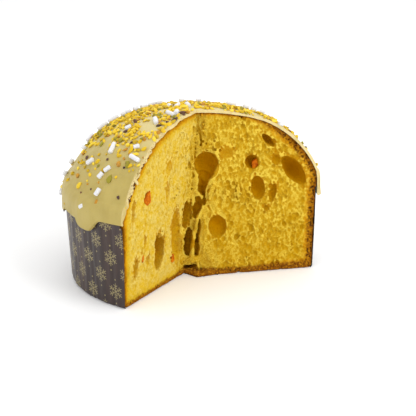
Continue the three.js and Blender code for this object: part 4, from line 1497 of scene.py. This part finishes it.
SUGAR_SHADED = (0.68, 0.68, 0.70)
SUGAR_WHITE = (0.78, 0.78, 0.79)
# The nuts' colours from pale yellow through green and ochre to the brown of their skin.
NUT_STOPS = [
    (0.0, (0.88, 0.66, 0.05)),
    (0.30, (0.74, 0.48, 0.0)),
    (0.62, (0.48, 0.31, 0.0)),
    (0.70, (0.38, 0.31, 0.008)),
    (0.82, (0.24, 0.21, 0.010)),
    (0.86, (0.46, 0.21, 0.008)),
    (0.90, (0.52, 0.25, 0.015)),
    (0.93, (0.14, 0.055, 0.03)),
    (1.0, (0.055, 0.025, 0.022)),
]
NUT_SKIN = (0.20, 0.085, 0.03)


def sugar_finish():
    white = Finish("pearl sugar", Subsurface_Weight=0.3, Specular_IOR_Level=0.4)
    white.surface.inputs["Subsurface Radius"].default_value = (0.002, 0.002, 0.002)
    grain = white.mottle(0.7, 3)
    colour = white.mix(grain, SUGAR_SHADED, SUGAR_WHITE)
    return white.finish(Base_Color=colour, Roughness=0.45 + 0.2 * grain, Normal=white.relief(grain, 0.12))


def nut_finish():
    nut = Finish("chopped pistachio", Specular_IOR_Level=0.4)
    body = nut.node("ShaderNodeValToRGB", {"stops": NUT_STOPS}, {0: nut.read("tint")})
    colour = nut.mix(nut.mottle(2.6, 3).eased(0.60, 0.68) * 0.5, body, NUT_SKIN)
    grain = nut.mottle(0.6, 3)
    return nut.finish(Base_Color=colour, Roughness=0.5 + 0.25 * grain, Normal=nut.relief(grain, 0.15))


sugar.data.materials.append(sugar_finish())
nuts.data.materials.append(nut_finish())
for piece in (sugar, nuts):
    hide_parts("icing")
    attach(piece, "root")


# STUDIO
# A plain pale table top under soft light: a key from the right and above, a weaker fill from the left, a
# third light from behind, and an even white surround.

TABLE_REACH = 3000
TABLE_SHADED = (0.96, 0.96, 0.96)
TABLE_PALE = (0.98, 0.98, 0.98)
corners = [(-1, -1), (1, -1), (1, 1), (-1, 1)]
table = add_mesh("table_top", [(x * TABLE_REACH, y * TABLE_REACH, 0) for x, y in corners], [(0, 1, 2, 3)])
surface = Finish("pale table top")
shade = surface.mix(surface.mottle(60, 2), TABLE_SHADED, TABLE_PALE)
table.data.materials.append(surface.finish(Base_Color=shade, Roughness=0.8))

camera_data = bpy.data.cameras.new("camera")
camera_data.sensor_width = 36.0
camera_data.lens = FOCAL_PIXELS / PHOTO_SIDE * camera_data.sensor_width
camera = bpy.data.objects.new("camera", camera_data)
bpy.context.scene.collection.objects.link(camera)
target = Vector(seen_frame(*CAMERA_AIM) * MM)
camera.location = target - Vector(SIGHT * CAMERA_REACH * MM)
camera.rotation_euler = (target - camera.location).to_track_quat("-Z", "Y").to_euler()
bpy.context.scene.camera = camera


def soft_light(name, place, size, watts, colour=(1, 1, 1)):
    data = bpy.data.lights.new(name, "AREA")
    data.shape = "DISK"
    data.size = size
    data.energy = watts
    data.color = colour
    light = bpy.data.objects.new(name, data)
    bpy.context.scene.collection.objects.link(light)
    light.location = seen_frame(*place) * MM
    light.rotation_euler = (Vector((0, 0, 0.06)) - light.location).to_track_quat("-Z", "Y").to_euler()


soft_light("key", (620, -520, 760), 0.55, 4.0)
soft_light("fill", (-700, -700, 500), 0.8, 1.0)
soft_light("back", (-200, 800, 900), 0.9, 2.0)
world = bpy.data.worlds.new("surround")
world.use_nodes = True
world.node_tree.nodes["Background"].inputs["Color"].default_value = (1, 1, 1, 1)
world.node_tree.nodes["Background"].inputs["Strength"].default_value = 1.0
bpy.context.scene.world = world
bpy.context.scene.view_settings.view_transform = "Standard"
bpy.context.scene.view_settings.look = "None"
